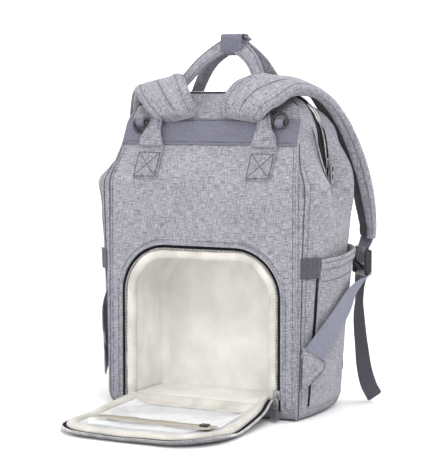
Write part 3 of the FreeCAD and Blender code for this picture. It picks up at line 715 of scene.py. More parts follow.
def seam_piping():
    """Corded piping down the four upright seams, with a thin dark pipe beside each that is a painted shadow
    of the seam's groove, and a row of stitches each side.
    """
    heights = np.concatenate([[1.5, 4, 8, 13], np.linspace(22, 384, 80)])
    for hand in (1, -1):
        for side in (-1, 1):
            tag, bend = f"{SIDE[side]}_{HAND[hand]}", FOLD_BEND[side]
            flip = np.array([hand, -side, 1])
            path = [(hand * (seam_x(z) + 0.8), (seam_y(z) - 0.8) * -side, z) for z in heights]
            pipe(f"piping_{tag}", path, 1.5, MELANGE, bend)
            # Painted shadow: a thin dark thread-coloured pipe on the gusset side of the seam stands in for
            # the shade in its groove.
            gap = [gusset_point(z, 0.035, 0.35, side) * flip for z in heights[1:-8]]
            pipe(f"painted_seam_shadow_{tag}", gap, 0.75, GREY_THREAD_AND_SEAM_SHADOW, bend)
            inner = [wall(hand * (seam_x(z) - 5.0), z, 0.3, side) for z in heights[4:-6]]
            sew(f"face_sewn_{tag}", inner, wall_normal(200, side), bend, "melange_fabric", 3.6, 2.5)
            outer = [gusset_point(z, 0.09, 0.9) * flip for z in heights[4:-14]]
            sew(f"side_sewn_{tag}", outer, (hand, 0.2 * side, 0), bend, "melange_fabric", 3.6, 2.5)


def band(side):
    """Slate webbing band across the lean of one wall, sewn along both edges."""
    rows = []
    for z in np.linspace(BAND_LOW - 1, BAND_HIGH + 1, 58):
        edge = min(z - BAND_LOW + 1, BAND_HIGH + 1 - z)
        lift = 1.6 + 0.8 * min(edge / 3, 1) - 0.5 * math.exp(-((edge - 3.2) / 0.9) ** 2)
        wide = seam_x(z) + 0.5
        row = []
        for x in np.linspace(-1, 1, 121):
            rib = 0.34 * math.sin(TURN * (z + 3.2 * ripple(x * 7, z / 30, side)) / 3.0)
            row.append(wall(-x * wide * side, z, lift + rib + 0.4 * ripple(x * 9, z / 20, side), side))
        rows.append(row)
    name = f"{SIDE[side]}_band"
    sheet(name, rows, [SLATE], 1.4, FOLD_BEND[side], "webbing_slate", f"{SIDE[side]}_webbing_band")
    for label, z in (("low", BAND_LOW + 2.4), ("high", BAND_HIGH - 2.4)):
        path = [wall(x, z, 2.2, side) for x in np.linspace(-BAND_X + 4, BAND_X - 4, 80)]
        sew(f"{name}_stitch_{label}", path, wall_normal(z, side), FOLD_BEND[side], "webbing_slate", 3.6, 2.4)


def between(a, b, count):
    """Evenly spaced pairs from a to b."""
    return [(a[0] + (b[0] - a[0]) * s, a[1] + (b[1] - a[1]) * s) for s in np.linspace(0, 1, count)]


def handle_patch(hand, side):
    """Folded cloth square under each handle end, sewn with a box and cross."""
    name = f"{SIDE[side]}_patch_{HAND[hand]}"
    centre, half, low, high = 81.0 * hand, 18.5, 299.0, 345.0

    def point(x, z):
        edge = min(half - abs(x), z - low, high - z)
        return wall(centre - x * side, z, 1.0 + 2.0 * min(edge / 2.5, 1) ** 0.5, side)

    sheet(name, grid(point, np.linspace(-half, half, 19), np.linspace(low, high, 19)), [HANDLE_CLOTH], 1.6,
          FOLD_BEND[side], "melange_fabric", f"{SIDE[side]}_handle_patches")
    x0, x1, z0, z1 = centre - half + 3, centre + half - 3, low + 3, low + 33
    box = [(x0, z0), (x1, z0), (x1, z1), (x0, z1)]
    normal = wall_normal((low + high) / 2, side)
    rows = []
    for k, (i, j) in enumerate(((0, 1), (1, 2), (2, 3), (3, 0), (0, 2), (3, 1))):
        path = [wall(x, z, 3.2, side) for x, z in between(box[i], box[j], 12)]
        rows.append(stitches(f"{name}_sewn_{k}", path, normal, 2.8, 2.2, 0.45, 0.4))
    placed(joined(rows, f"{name}_sewn"), FOLD_BEND[side], "melange_fabric")


# ---- mouth ---------------------------------------------------------------------------------------
CREST = [(142.5, 298), (143.3, 308), (143.5, 324), (142, 344), (138, 363), (132, 378), (122, 394), (108, 405),
         (88, 410), (60, 411), (30, 411), (0, 411)]
TAPE_COLUMNS = 3         # mesh columns of bare tape, next to the zip; cloth covers the rest


def crest_path(y, drop, count=150):
    """Crest of the closed mouth from the right end to the left, drawn in by drop."""
    half = resample([(x, y, z) for x, z in CREST], count)
    path = np.vstack([half, (half * np.array([-1, 1, 1]))[::-1][1:]])
    return path + np.cross(tangents(path), np.array([0, 1, 0.0])) * -drop


def mouth_tape(side):
    """Black tape of one half of the mouth zip, wide on the legs and narrow over the top, with its coil."""
    crest = resample([(x, -1.6, z) for x, z in CREST], 90)
    wide, lift, arch = (17.0, 2.2, 1.6) if side < 0 else (2.0, 0.2, 0.2)
    inner = []
    for z in (300, 312, 324, 344, 362):
        length = np.linalg.norm(gusset_point(z, 1, 0, side) - gusset_point(z, 0.6, 0, side)) / 0.4
        inner.append(gusset_point(z, 1 - wide / length, lift, side))
    inner += [(124, -16, 376), (114, -14, 389), (102, -9.5, 399), (86, -6.5, 403.5), (60, -6.5, 404.5),
              (30, -6.5, 404.5), (0, -6.5, 404.5)]
    rows = []
    for a, b in zip(crest, resample(inner, 90)):
        outward = np.array([0.75, -0.35, 0.15] if a[2] < 385 else [0.1, -0.35, 0.6])
        arch_up = arch * outward
        bare = np.interp(a[2], [350, 362, 372, 384, 396, 406], [17, 14, 10.5, 7, 5, 4])
        bare = min(bare / np.linalg.norm(b - a), 0.94)
        parts = np.concatenate([np.linspace(0, bare, TAPE_COLUMNS + 1), np.linspace(bare, 1, 5)[1:]])
        rows.append([a * (1 - t) + b * t + arch_up * math.sin(math.pi * t) for t in parts])
    right = np.array(rows)
    net = np.vstack([right, right[::-1][1:] * np.array([-1, 1, 1])])
    net[:, :, 1] *= -side
    if side > 0:
        net = net[:, ::-1]
    name, last, bend = SIDE[side] + "_mouth", net.shape[1] - 1, FOLD_BEND[side]
    obj = mesh_from_rows(name + "_tape", net)
    for face in obj.data.polygons:
        column = min(v % (last + 1) for v in face.vertices)
        covered = column >= TAPE_COLUMNS if side < 0 else column < last - TAPE_COLUMNS
        face.material_index = 2 if covered else 0
    dressed(obj, [BLACK_TAPE_AND_SLIT_SHADE, BLACK_TAPE_AND_SLIT_SHADE, MELANGE], 1.2, offset=0)
    placed(obj, bend, "zip_tape", name + "_zip")
    coil(name + "_coil", crest_path(side * 0.9, -0.6), (0, side, 0.001), bend, "zip_metal", 1.25, 1.8, 0.46)
    edge = net[:, TAPE_COLUMNS - 1 if side < 0 else -TAPE_COLUMNS] + np.array([0, side * 0.8, 0.8])
    sew(name + "_sewn", edge, (0, side, 0.4), bend, "zip_tape", 3.4, 2.3)


def d_ring_loops():
    """Short webbing loops that hold the two rings under the band."""
    loop = [(-41.0, 367.5), (-45.6, 367.2), (-47.8, 371), (-46.5, 375.4), (-42.5, 376.6), (-37, 376.3)]
    for hand in (1, -1):
        path = resample([(100.0 * hand, y, z) for y, z in loop], 24)
        obj = sweep(f"ring_loop_{HAND[hand]}", path, oval(6, 0.9, 12, 0.5), out=(0, -0.5, 0.5))
        placed(dressed(obj, [SLATE]), "near_mouth", "webbing_slate", "d_ring_loops")


# ---- handles ---------------------------------------------------------------------------------------
# Right half of a handle: (x, z, width, share of the way from its wall to the crown).
HANDLE = [(81, 341, 37, 0), (81, 350, 35, 0.03), (80, 358, 28, 0.05), (79, 364, 21, 0.08),
          (78, 371, 18.5, 0.12), (70, 394, 16.5, 0.30), (60, 415, 16.5, 0.50), (50, 432, 17, 0.67),
          (38, 449, 18, 0.81), (22, 463, 20, 0.93), (8, 471, 22, 0.99), (0, 472, 22, 1)]
HANDLE_THICK = 6.4
ROLL = [(0.49, 0.22), (0.44, 0.4), (0.38, 0.42), (0.34, 0.36), (0.28, 0.46)]
HALF_SECTION = [(0.5, 0.0), *ROLL, (0, 0.5), *[(-u, v) for u, v in ROLL[::-1]]]
HANDLE_SECTION = HALF_SECTION + [(-u, -v) for u, v in HALF_SECTION]


def carry_handle(side, crown_y):
    """Padded carry handle, a flat strip that folds narrow near its ends."""
    root = side * 52.0
    right = [(x, root + (crown_y - root) * k, z, w) for x, z, w, k in HANDLE]
    rows = resample(right + [(-x, y, z, w) for x, y, z, w in right[:-1]][::-1], 110)
    lean = np.array([0, crown_y - root, HANDLE[-1][1] - HANDLE[0][1]])
    plane = np.cross(lean / np.linalg.norm(lean), (1, 0, 0))
    across = np.cross(tangents(rows[:, :3]), plane)
    lines = []
    for k, (p, a) in enumerate(zip(rows, across)):
        thick = HANDLE_THICK + 0.5 * ripple(k / 9, side, 0.3)
        lines.append([p[:3] + a * (u * p[3]) + plane * (v * thick) for u, v in HANDLE_SECTION])
    body = SIDE[side] + "_handle"
    obj = dressed(mesh_from_rows(body + "_strip", lines, wrap=True, caps=True), [HANDLE_CLOTH])
    placed(obj, body, "melange_fabric", body)
    for edge in (-1, 1):
        line = rows[:, :3] + across * (edge * (rows[:, 3:] / 2 - 3.2)) + plane * side * 3.05
        sew(f"{body}_strip_sewn_{edge + 1}", line[6:-6], plane * side, body, "melange_fabric", 3.4, 2.3)


def handle_wrap():
    """Ribbed slate wrap that closes round both handles at their crown."""
    low, high = span("handle_wrap")
    low = low + np.array([-1.0, 0, high[2] - low[2] - 30])
    high = high + np.array([7.0, 0, 0])
    cx, cy, cz = (low + high) / 2
    hx, hy, hz = (high - low) / 2
    rows = []
    for x in np.linspace(-hx, hx, 31):
        rib = 0.35 * math.sin(x * TURN / 4.2)
        rows.append([(cx + x + 0.5 * ripple(k / 6, 0, 0), cy + ry, cz + rz)
                     for k, (ry, rz) in enumerate(oval(hy - 1.0 + rib, hz - 1.0 + rib, 44, 0.45))])
    obj = dressed(mesh_from_rows("crown_wrap", rows, wrap=True), [SLATE], 2.0)
    placed(obj, "near_handle", "webbing_slate", "handle_wrap")
    for label, dz in (("upper", 9.0), ("lower", 1.5)):
        x, z = cx + hx, cz + hz + dz
        path = resample([(x - 1, cy - 3, z - 14), (x + 4, cy - 3, z - 15), (x + 9, cy - 2, z - 19)], 10)
        end = sweep(f"wrap_end_{label}", path, oval(3.0, 1.4, 12, 0.6), out=(0, -0.2, 1))
        placed(dressed(end, [SLATE]), "near_handle", "webbing_slate")


# ---- shoulder straps -------------------------------------------------------------------------------
STRAP_THICK = 17.0
STRAP_HEM = 8.0          # outer cloth turned in over the mesh along each edge
STRAP_RING = 28          # points round the strap's section
PUFF_FRAMES = 16
# Stations of the right strap: centre, direction across, width, thickness scale.
STRAP = [((42.5, -36.5, 375.5), (1, 0.0, 0), 50, 0.22), ((47, -45, 388), (1, 0.0, -0.05), 55, 0.7),
         ((59, -44, 403), (1, 0.06, -0.2), 60, 0.9), ((77, -28, 415), (0.95, 0.12, -0.28), 62, 1),
         ((97, -4, 419), (0.80, -0.52, -0.22), 62, 1), ((116, 21, 411), (0.70, -0.70, -0.18), 61, 1),
         ((131, 41, 390), (0.67, -0.73, -0.12), 60, 1), ((144, 58, 358), (0.65, -0.76, -0.08), 59, 1),
         ((155, 72, 320), (0.62, -0.78, -0.05), 58, 1), ((163, 82, 276), (0.60, -0.80, -0.02), 57, 1),
         ((166, 87, 240), (0.60, -0.80, 0), 53, 0.92), ((165.5, 88, 222), (0.62, -0.78, 0), 46, 0.75)]


def shoulder_strap(hand):
    """Padded strap: melange outside, spacer mesh on the wearer's side, bound edge and centre stitching."""
    stations = [((c[0] * hand, c[1], c[2]), (a[0] * hand, a[1], a[2]), w, k) for c, a, w, k in STRAP]
    name = f"strap_{HAND[hand]}"
    pad, path, side, out, rows = strap(name, stations, STRAP_THICK, 110, 0.62, STRAP_RING)
    outward = 1 if np.mean(out[60:] @ np.array([hand * 1.0, 0.3, 0])) > 0 else -1
    pad.data.materials.append(MELANGE)
    pad.data.materials.append(MESH_CLOTH)
    for face in pad.data.polygons:
        k = min(min(face.vertices) // STRAP_RING, len(path) - 1)
        offset = np.array(face.center) / MM - path[k]
        under = offset @ out[k] * outward < -0.3 * STRAP_THICK * rows[k][7]
        face.material_index = 1 if under and abs(offset @ side[k]) < rows[k][6] / 2 - STRAP_HEM else 0
    puff(pad, 4.0, 0.003)
    creases(pad, 0.9, 26, hand)
    placed(dressed(pad, []), STRAP_BEND, "melange_fabric", f"shoulder_{name}")
    half, rise = rows[:, 6:7] / 2, STRAP_THICK * rows[:, 7:8]
    out = out * outward
    centre = path + out * 0.5 * rise
    sew(f"{name}_centre", centre[4:52], out[4:52], STRAP_BEND, "melange_fabric", 3.4, 2.6, 0.45)
    for edge in (-1, 1):
        pipe(f"{name}_binding_{edge + 1}", (path + side * half * edge)[1:-1], 1.9, HANDLE_CLOTH, STRAP_BEND)
        inner = path + side * (half - 7.0) * edge + out * 0.49 * rise
        sew(f"{name}_sewn_{edge + 1}", inner[3:-3], out[3:-3], STRAP_BEND, "melange_fabric", 3.6, 2.4)


def creases(obj, depth, size, seed):
    """Fine soft unevenness along a padded piece's own normals."""
    normals = [v.normal.copy() for v in obj.data.vertices]
    for v, n in zip(obj.data.vertices, normals):
        p = v.co / MM
        v.co += n * ripple(p.x / size + seed * 3, p.y / size, p.z / size) * depth * MM


def puff(obj, pressure, cap):
    """Let air pressure fill a padded piece, keeping every point within cap metres of where it began."""
    start = np.array([v.co for v in obj.data.vertices])
    ends = STRAP_RING * 3
    group = obj.vertex_groups.new(name="held")
    group.add(list(range(ends)) + list(range(len(start) - ends - 2, len(start))), 1.0, "REPLACE")
    cloth = obj.modifiers.new("cloth", "CLOTH")
    settings = cloth.settings
    settings.quality = 5
    settings.mass = 0.3
    settings.tension_stiffness = settings.compression_stiffness = 25
    settings.bending_stiffness = 1.5
    settings.use_pressure = True
    settings.uniform_pressure_force = pressure
    settings.vertex_group_mass = "held"
    settings.effector_weights.gravity = 0
    cloth.collision_settings.use_collision = False
    cloth.point_cache.frame_start, cloth.point_cache.frame_end = 1, PUFF_FRAMES
    scene = bpy.context.scene
    for step in range(1, PUFF_FRAMES + 1):
        scene.frame_set(step)
    shape = obj.evaluated_get(bpy.context.evaluated_depsgraph_get())
    filled = np.array([v.co for v in shape.data.vertices])
    obj.modifiers.clear()
    scene.frame_set(1)
    if len(filled) != len(start) or not np.isfinite(filled).all():
        return
    move = filled - start
    far = np.linalg.norm(move, axis=1)
    move *= np.minimum(1.0, cap / np.maximum(far, 1e-9))[:, None]
    for v, p in zip(obj.data.vertices, start + move):
        v.co = p


# Webbing stations on the right side: centre, direction across, width.
TAB = [((165.4, 87.8, 223), (0.70, -0.71, 0), 40), ((163.4, 85.6, 214.5), (0.70, -0.71, 0), 37),
       ((160.6, 82.6, 206), (0.70, -0.71, 0), 32), ((159.6, 81.7, 199), (0.70, -0.71, 0), 31),
       ((159.3, 81.4, 190), (0.70, -0.71, 0), 31)]
LOWER_WEB = [((144.2, -57, 72.5), (-0.24, -0.76, 0.60), 34), ((147.6, -53.5, 78.5), (-0.24, -0.77, 0.59), 37),
             ((152, -48.5, 86.5), (-0.22, -0.78, 0.58), 38), ((157.2, -40, 98), (-0.18, -0.79, 0.58), 38),
             ((163.5, -26, 114), (-0.08, -0.81, 0.58), 38), ((167, -10, 128), (0.02, -0.83, 0.56), 38),
             ((169, 14, 144), (0.10, -0.86, 0.50), 38), ((169, 40, 155), (0.28, -0.88, 0.36), 38),
             ((168, 62, 163), (0.48, -0.84, 0.18), 34), ((166.5, 76, 171), (0.62, -0.78, 0.0), 31),
             ((164.0, 82.5, 179), (0.68, -0.73, 0.0), 30), ((162.3, 84.0, 185), (0.70, -0.71, 0.0), 30),
             ((160.5, 82.6, 191), (0.70, -0.71, 0.0), 30)]
TAIL = [((158, 83, 180), (0.70, -0.71, 0), 29), ((154, 92, 170), (0.70, -0.72, 0), 30),
        ((150, 99, 156), (0.65, -0.75, 0), 34), ((148.5, 103, 142), (0.60, -0.80, 0), 37),
        ((148, 104, 114), (0.70, -0.72, 0), 38), ((151.5, 105, 74), (0.76, -0.65, 0), 38),
        ((156, 105.5, 42), (0.82, -0.57, 0), 38), ((162.5, 106, 21), (0.86, -0.50, 0), 38),
        ((171, 106, 7.5), (0.88, -0.47, 0), 38)]


def strap_ends(hand):
    """Tab, adjusting webbing and its free tail on one side."""
    flip = np.array([hand, 1, 1])
    for name, node, stations, thick, material, slot, count in (
            ("tab", "strap_tab", TAB, 3.2, SLATE, "webbing_slate", 20),
            ("lower_web", "lower_webbing", LOWER_WEB, 2.0, BLUE_WEB, "webbing_light", 60),
            # The tail is the same webbing as the lower strip; its darker colour is painted shade.
            ("tail", "webbing_tail", TAIL, 2.0, DARK_ELASTIC_AND_SHADED_TAIL_WEB, "webbing_light", 60)):
        made = [(np.array(c) * flip, np.array(a) * flip, w, 1) for c, a, w in stations]
        obj = strap(f"{name}_{HAND[hand]}", made, thick, count, 0.35)[0]
        placed(dressed(obj, [material]), "bag_body", slot, f"{node}_{HAND[hand]}")


def ladder_lock(hand):
    """Glossy moulded adjuster: a rounded frame with side rails and three bars."""
    turn = math.radians(-45)
    ux = np.array([math.cos(turn), math.sin(turn), 0])
    uy = np.array([-math.sin(turn), math.cos(turn), 0])
    centre = np.array([159.5, 82, 190.5])
    flip = np.array([hand, 1, 1])

    def place(points):
        return np.array([(centre + ux * a + uy * b + np.array([0, 0, c])) * flip for a, b, c in points])

    parts = []
    for x in (-20, 20):
        path = place([(x, 0.8, z) for z in np.linspace(-16.5, 16.5, 14)])
        parts.append(sweep("rail", path, oval(3.1, 5.0, 16, 0.6), out=uy * flip))
    for z, lift, thick in ((15, 0.5, 4.2), (-1, 1.2, 5.0), (-15, 0.5, 4.2)):
        path = place([(x, lift + 0.8 * math.cos(x / 14), z) for x in np.linspace(-20, 20, 16)])
        parts.append(sweep("bar", path, oval(2.2, thick, 16, 0.7), out=(0, 0, 1)))
    obj = dressed(joined(parts, f"buckle_{HAND[hand]}"), [BLACK_PLASTIC])
    placed(obj, "bag_body", "moulded_plastic", f"ladder_lock_{HAND[hand]}")


# ---- side pockets ----------------------------------------------------------------------------------
POCKET_Y = (-45.0, 67.0)             # near and far edge
HEM_NEAR, HEM_RISE = 202.0, 12.0     # height of the hem at its near edge, and its rise to the far edge


def pocket_face(z, y, lift=0.0):
    """Point of the right side pocket; it stands off the gusset more and more towards its hem."""
    edge = 1 - 0.85 * abs((y - 11) / 56.0) ** 4
    stand = 1.5 + (1.0 + 9.0 * (max(z - 30, 0) / 178.0) ** 1.5) * edge
    crumple = 1.8 * ripple(y / 24, z / 40, 2.2) + 0.8 * ripple(y / 9, z / 26, 8.1)
    settle = min((z - 6) / 40, 1) * max(edge, 0) ** 0.5
    return np.array([side_x(z, y) + stand + crumple * settle + lift, y, z])


def hem_height(y):
    return HEM_NEAR + HEM_RISE * (y - POCKET_Y[0]) / (POCKET_Y[1] - POCKET_Y[0])


def side_pocket(hand):
    """Open pocket of one side with its folded hem and three rows of stitches."""
    tag = HAND[hand]
    depths = np.linspace(*POCKET_Y, 41)
    rows = grid(lambda y, t: pocket_face(14 + (hem_height(y) - 14) * t, y), depths, np.linspace(0, 1, 61))
    rows[0] = [p - np.array([1.5, 0, 0]) for p in rows[0]]
    sheet(f"pocket_{tag}", hand_rows(rows, hand), [MELANGE, GREY_LINING], 1.8, "bag_body", "melange_fabric",
          f"side_pocket_{tag}", lay=hand, inner=1)
    fold = [(13.5, 0.2), (13.2, 1.3), (8, 2.0), (2, 1.9), (-0.8, 1.0), (-1.4, -0.8), (-0.4, -2.8), (5, -3.2),
            (11, -2.6)]
    rows = [[pocket_face(hem_height(y) - drop, y, lift) for y in depths] for drop, lift in fold]
    sheet(f"hem_{tag}", hand_rows(rows, hand), [MELANGE], 0.8, "bag_body", "melange_fabric", lay=hand)
    flip = np.array([hand, 1, 1])
    for k, (drop, lift) in enumerate(((3.0, 2.5), (11.5, 2.2), (27.0, 0.7))):
        path = [pocket_face(hem_height(y) - drop, y, lift) * flip for y in depths[1:-1]]
        sew(f"hem_sewn_{tag}_{k}", path, (hand, 0, 0.1), "bag_body", "melange_fabric", 3.4, 2.3)


def pocket_elastic(hand):
    """Ribbed elastic that gathers the pocket's near edge, above a near-black strip that is the painted shade
    of the slit beside it.
    """
    def point(y, z):
        rib = 0.45 * math.sin(z * TURN / 3.6) + 0.5 * math.sin(y * TURN / 5.2)
        return side_x(z, y) + 2.0 + 4.0 * (y + 66.5) / 20 + rib, y, z

    rows = grid(point, np.linspace(-67.5, -47, 34), np.linspace(180, 206, 27))
    sheet(f"elastic_{HAND[hand]}", hand_rows(rows, hand), [DARK_ELASTIC_AND_SHADED_TAIL_WEB], 1.4, "bag_body", "webbing_slate",
          f"pocket_elastic_{HAND[hand]}")
    # Painted shade: a near-black sheet laid on the gusset where the pocket's near edge gapes open.
    rows = []
    for z in np.linspace(18, 181, 50):
        gape = math.sin(math.pi * (z - 18) / 163)
        depths = np.linspace(-47.5 - 1.5 * gape, -44.5, 6)
        rows.append([(side_x(z, y) + 0.9 + 0.3 * gape, y, z) for y in depths])
    sheet(f"painted_slit_shade_{HAND[hand]}", hand_rows(rows, hand), [BLACK_TAPE_AND_SLIT_SHADE], 0.8, "bag_body", "grey_lining")


def anchor(hand):
    """Three-cornered patch over the near seam that holds the adjusting webbing, sewn twice round."""
    def at(s, t, lift):
        y = -67.0 + 37.0 * s
        z = 67.0 + 2.0 * s + (t - 0.5) * 58.0 * (1 - 0.86 * s)
        near = side_x(z, y) + 3.2
        x = near + (pocket_face(z, y)[0] + 3.0 - near) * smooth_step(y, -64, -44)
        return np.array([x + lift, y, z])

    def pillow(t, s):
        edge = min(min(t, 1 - t), s + 0.1, 1.05 - s)
        return at(s, t, 0.6 + 1.8 * min(edge / 0.06, 1))

    name = f"anchor_{HAND[hand]}"
    rows = grid(pillow, np.linspace(0, 1, 19), np.linspace(0, 1, 22))
    sheet(name, hand_rows(rows, -hand), [MELANGE], 1.6, "bag_body", "melange_fabric", "strap_" + name,
          lay=hand)
    flip = np.array([hand, 1, 1])
    parts = []
    for k, inset in enumerate((0.06, 0.14)):
        corners = [(0.03, inset), (1 - inset * 0.8, inset), (1 - inset * 0.8, 1 - inset), (0.03, 1 - inset)]
        path = []
        for a, b in zip(corners[:-1], corners[1:]):
            path += [at(s, t, 4.2) * flip for s, t in between(a, b, 16)]
        parts.append(stitches(f"{name}_{k}", path, (hand, 0, 0.2), 3.2, 2.2))
    placed(joined(parts, f"anchor_sewn_{HAND[hand]}"), "bag_body", "melange_fabric")


# ---- opening ---------------------------------------------------------------------------------------
def arch_path(half, top, radius, low, count=140):
    """Outline of an arch from its lower right end round to its lower left end, as (x, z)."""
    points = [(half, z) for z in np.linspace(low, top - radius, 24)]
    for a in np.linspace(0, math.pi / 2, 24)[1:]:
        points.append((half - radius + radius * math.cos(a), top - radius + radius * math.sin(a)))
    points += [(x, top) for x in np.linspace(half - radius, 0, 18)[1:]]
    points += [(-x, z) for x, z in points[::-1][1:]]
    path = np.array(points, float)
    run = run_of(path)
    return read_off(path, run, np.linspace(0, run[-1], count))


def arch_wide(z, half, top, radius):
    """Half width of an arch at height z."""
    if z < top - radius:
        return half
    return half - radius + math.sqrt(max(radius ** 2 - (z - top + radius) ** 2, 0))


def rim(out, low, count=140):
    """Line round the bottle opening, a distance outside its edge."""
    return arch_path(OPEN_X + out, OPEN_TOP + out, OPEN_ROUND + out, low, count)


def arch_strip(section, low):
    """Rows that follow the opening: section points are (inset from its edge, y)."""
    return [[(x, y, z) for x, z in rim(-inset, low)] for inset, y in section][::-1]


def opening():
    """Piping, black zip tape with its coil, and the padded cream trim round the bottle opening."""
    y = -FACE_Y
    pipe("opening_piping", [wall(x, z, 0.2) for x, z in rim(1.2, POCKET_LOW - 4)], 1.9, MELANGE, "bag_body",
         out=(0, -1, 0))
    sew("opening_sewn", [wall(x, z, 0.5) for x, z in rim(6, POCKET_LOW)], (0, -1, 0), "bag_body",
        "melange_fabric", 3.4, 2.3)
    section = [(0.2, y - 0.2), (1.5, y - 0.8), (3.5, y - 0.7), (5.5, y - 0.4), (7.0, y + 0.2)]
    sheet("opening_tape", arch_strip(section, POCKET_LOW - 3), [BLACK_TAPE_AND_SLIT_SHADE], 1.2, "bag_body", "zip_tape",
          "opening_zip_tape")
    coil("opening_coil", [(x, y - 1.3, z) for x, z in rim(-5.4, POCKET_LOW - 2, 240)], (0, -1, 0), "bag_body",
         "zip_metal", 1.25, 1.9, 0.48)
    section = [(6.2, y + 0.8), (6.8, y - 0.5), (8.5, y - 1.5), (12, y - 1.9), (15.5, y - 1.2),
               (17.6, y + 0.8), (18.2, y + 3.0), (17.4, y + 5), (13, y + 5.5), (6.6, y + 4.4)]
    trim = mesh_from_rows("opening_cushion", arch_strip(section, POCKET_LOW - 1))
    for v in trim.data.vertices:
        p = v.co / MM
        v.co.y += 1.2 * MM * ripple(p.x / 17, 0, p.z / 17)
        v.co.z += 1.2 * MM * ripple(p.x / 17, 4, p.z / 17)
    placed(dressed(trim, [CREAM_TRIM], 0.8), "bag_body", "cream_lining", "opening_trim")
    sew("trim_sewn", [(x, y - 1.7, z) for x, z in rim(-8.2, POCKET_LOW)], (0, -1, 0), "bag_body",
        "cream_lining", 3.2, 2.2, material=PALE_THREAD)


def liner():
    """Cream insulated lining of the bottle compartment, with a floor, a rounded back and soft creases."""
    back, half, top, radius = LINER_BACK, OPEN_X - 12, OPEN_TOP - 11, OPEN_ROUND - 12
    rows = []
    for y in np.concatenate([np.linspace(-FACE_Y + 5, back - 10, 26), [back - 4, back - 1]]):
        grow = math.sin(math.pi * (y + FACE_Y) / (back + FACE_Y)) - 8 * smooth_step(y, back - 14, back)
        row = []
        for x, z in arch_path(half + grow, top + grow, radius, POCKET_LOW - 0.5, 90):
            pucker = 2.2 * ripple(x / 34, y / 18, z / 34) + 0.9 * ripple(x / 12, y / 9, z / 14)
            fade = min((z - POCKET_LOW) / 20, 1) * min((y + FACE_Y - 4) / 12, 1)
            inward = np.array([-math.copysign(1, x) if z < top - radius else -x / half, 0, -z / top])
            row.append(np.array([x, y, z]) + inward * max(pucker, -0.6) * fade)
        rows.append(row)
    parts = [mesh_from_rows("liner_tube", np.array(rows)[:, ::-1])]
    rows = []
    for z in np.linspace(POCKET_LOW, top - 4, 40):
        wide = arch_wide(z, half - 4, top - 4, radius - 4)
        rows.append([(x, back - 1.5 + 1.8 * ripple(x / 26, 3, z / 30), z)
                     for x in np.linspace(-wide, wide, 40)])
    parts.append(mesh_from_rows("liner_back", rows))
    rows = grid(lambda x, y: (x, y, POCKET_LOW + 1.5 + 0.9 * ripple(x / 24, y / 24, 1)),
                np.linspace(-half, half, 40), np.linspace(-FACE_Y + 2, back - 1, 20))
    parts.append(mesh_from_rows("liner_floor", rows))
    obj = dressed(joined(parts, "bottle_liner"), [CREAM], 1.2, offset=1)
    placed(obj, "bag_body", "cream_lining", "insulated_liner")


def main_lining():
    """Grey lining inside the main compartment."""
    low, high = span("main_lining")
    half_x, half_y, floor_z = high[0] - 2, high[1] - 2, low[2] + 3
    rows = []
    for z in np.linspace(floor_z, high[2], 14):
        ring = []
        for (c, s), (x, y) in zip(oval(1, 1, 72), oval(1, 1, 72, 0.4)):
            wave = 1.5 * ripple(c * 3, s * 3, z / 24)
            ring.append(((half_x + wave) * x, (half_y + wave) * y, z))
        rows.append(ring)
    sides = mesh_from_rows("lining_sides", rows, wrap=True)
    rows = [[(x * k, y * k, floor_z + 1.5 * (1 - k) * ripple(x * k / 25, y * k / 25, 3))
             for x, y in oval(half_x, half_y, 72, 0.4)] for k in np.linspace(1, 0, 12)]
    obj = joined([sides, mesh_from_rows("lining_floor", rows, wrap=True)], "compartment_lining")
    placed(dressed(obj, [GREY_LINING], 1.2), "bag_body", "grey_lining", "main_lining")


# ---- bottle door -----------------------------------------------------------------------------------
DOOR_HINGE_Y = DOOR_NEAR - 3
# Half width, reach from the hinge and corner radius.
DOOR_SHAPE = np.array([OPEN_X - 8.0, DOOR_HINGE_Y - DOOR_FAR - 3, OPEN_ROUND - 8])


def door_outline(inset, count=120):
    """Outline of the open door as (x, distance from the hinge), from its right hinge end to its left."""
    return arch_path(*(DOOR_SHAPE - inset), 0, count)


def door_lift(x, reach):
    """How far the rim of the open door rises towards the ends of its zip, beside the hinge."""
    height = 1.0 if x > 0 else 0.45
    rise = np.interp(reach, [0, 12, 22, 32, 48, 65, 82, 105], [23, 19.5, 16, 13.5, 9.5, 6, 3, 0])
    return height * rise * smooth_step(abs(x), 62, 106)


def door_point(x, reach, z):
    """Point on the open door; its free corners curl up slightly."""
    aside = abs(x) / 105
    curl = smooth_step(reach, 90, 190) * (1.6 + (5.5 if x > 0 else 1.2) * aside ** 2) * aside
    sag = 1.2 * ripple(x / 55, reach / 60, 5)
    draw_in = 1 - 0.045 * (1 - smooth_step(reach, 0, 40))
    return np.array([x * draw_in, DOOR_HINGE_Y - reach, z + curl + door_lift(x, reach) + max(sag, -0.4)])


def curl_at(x, y):
    """Height that the open door's own curl adds at a point of its inside."""
    return door_point(x, DOOR_HINGE_Y - y, 0)[2]


def door_rim(section):
    """Rows that follow the door's outline: section points are (inset from it, height)."""
    return [[door_point(x, d, z) for x, d in door_outline(inset)] for inset, z in section]


def door_rows(inset, height, depth, seed=0.0):
    """Rows that fill the door's outline at a height, with soft waves."""
    half, reach, radius = DOOR_SHAPE - inset
    rows = []
    for d in np.linspace(0.5, reach, 48):
        wide = arch_wide(d, half, reach, radius)
        rows.append([door_point(x, d, height + depth * (ripple(x / 30, d / 26, seed)
                                                        + 0.5 * ripple(x / 12, d / 14, seed)))
                     for x in np.linspace(wide, -wide, 49)])
    return rows


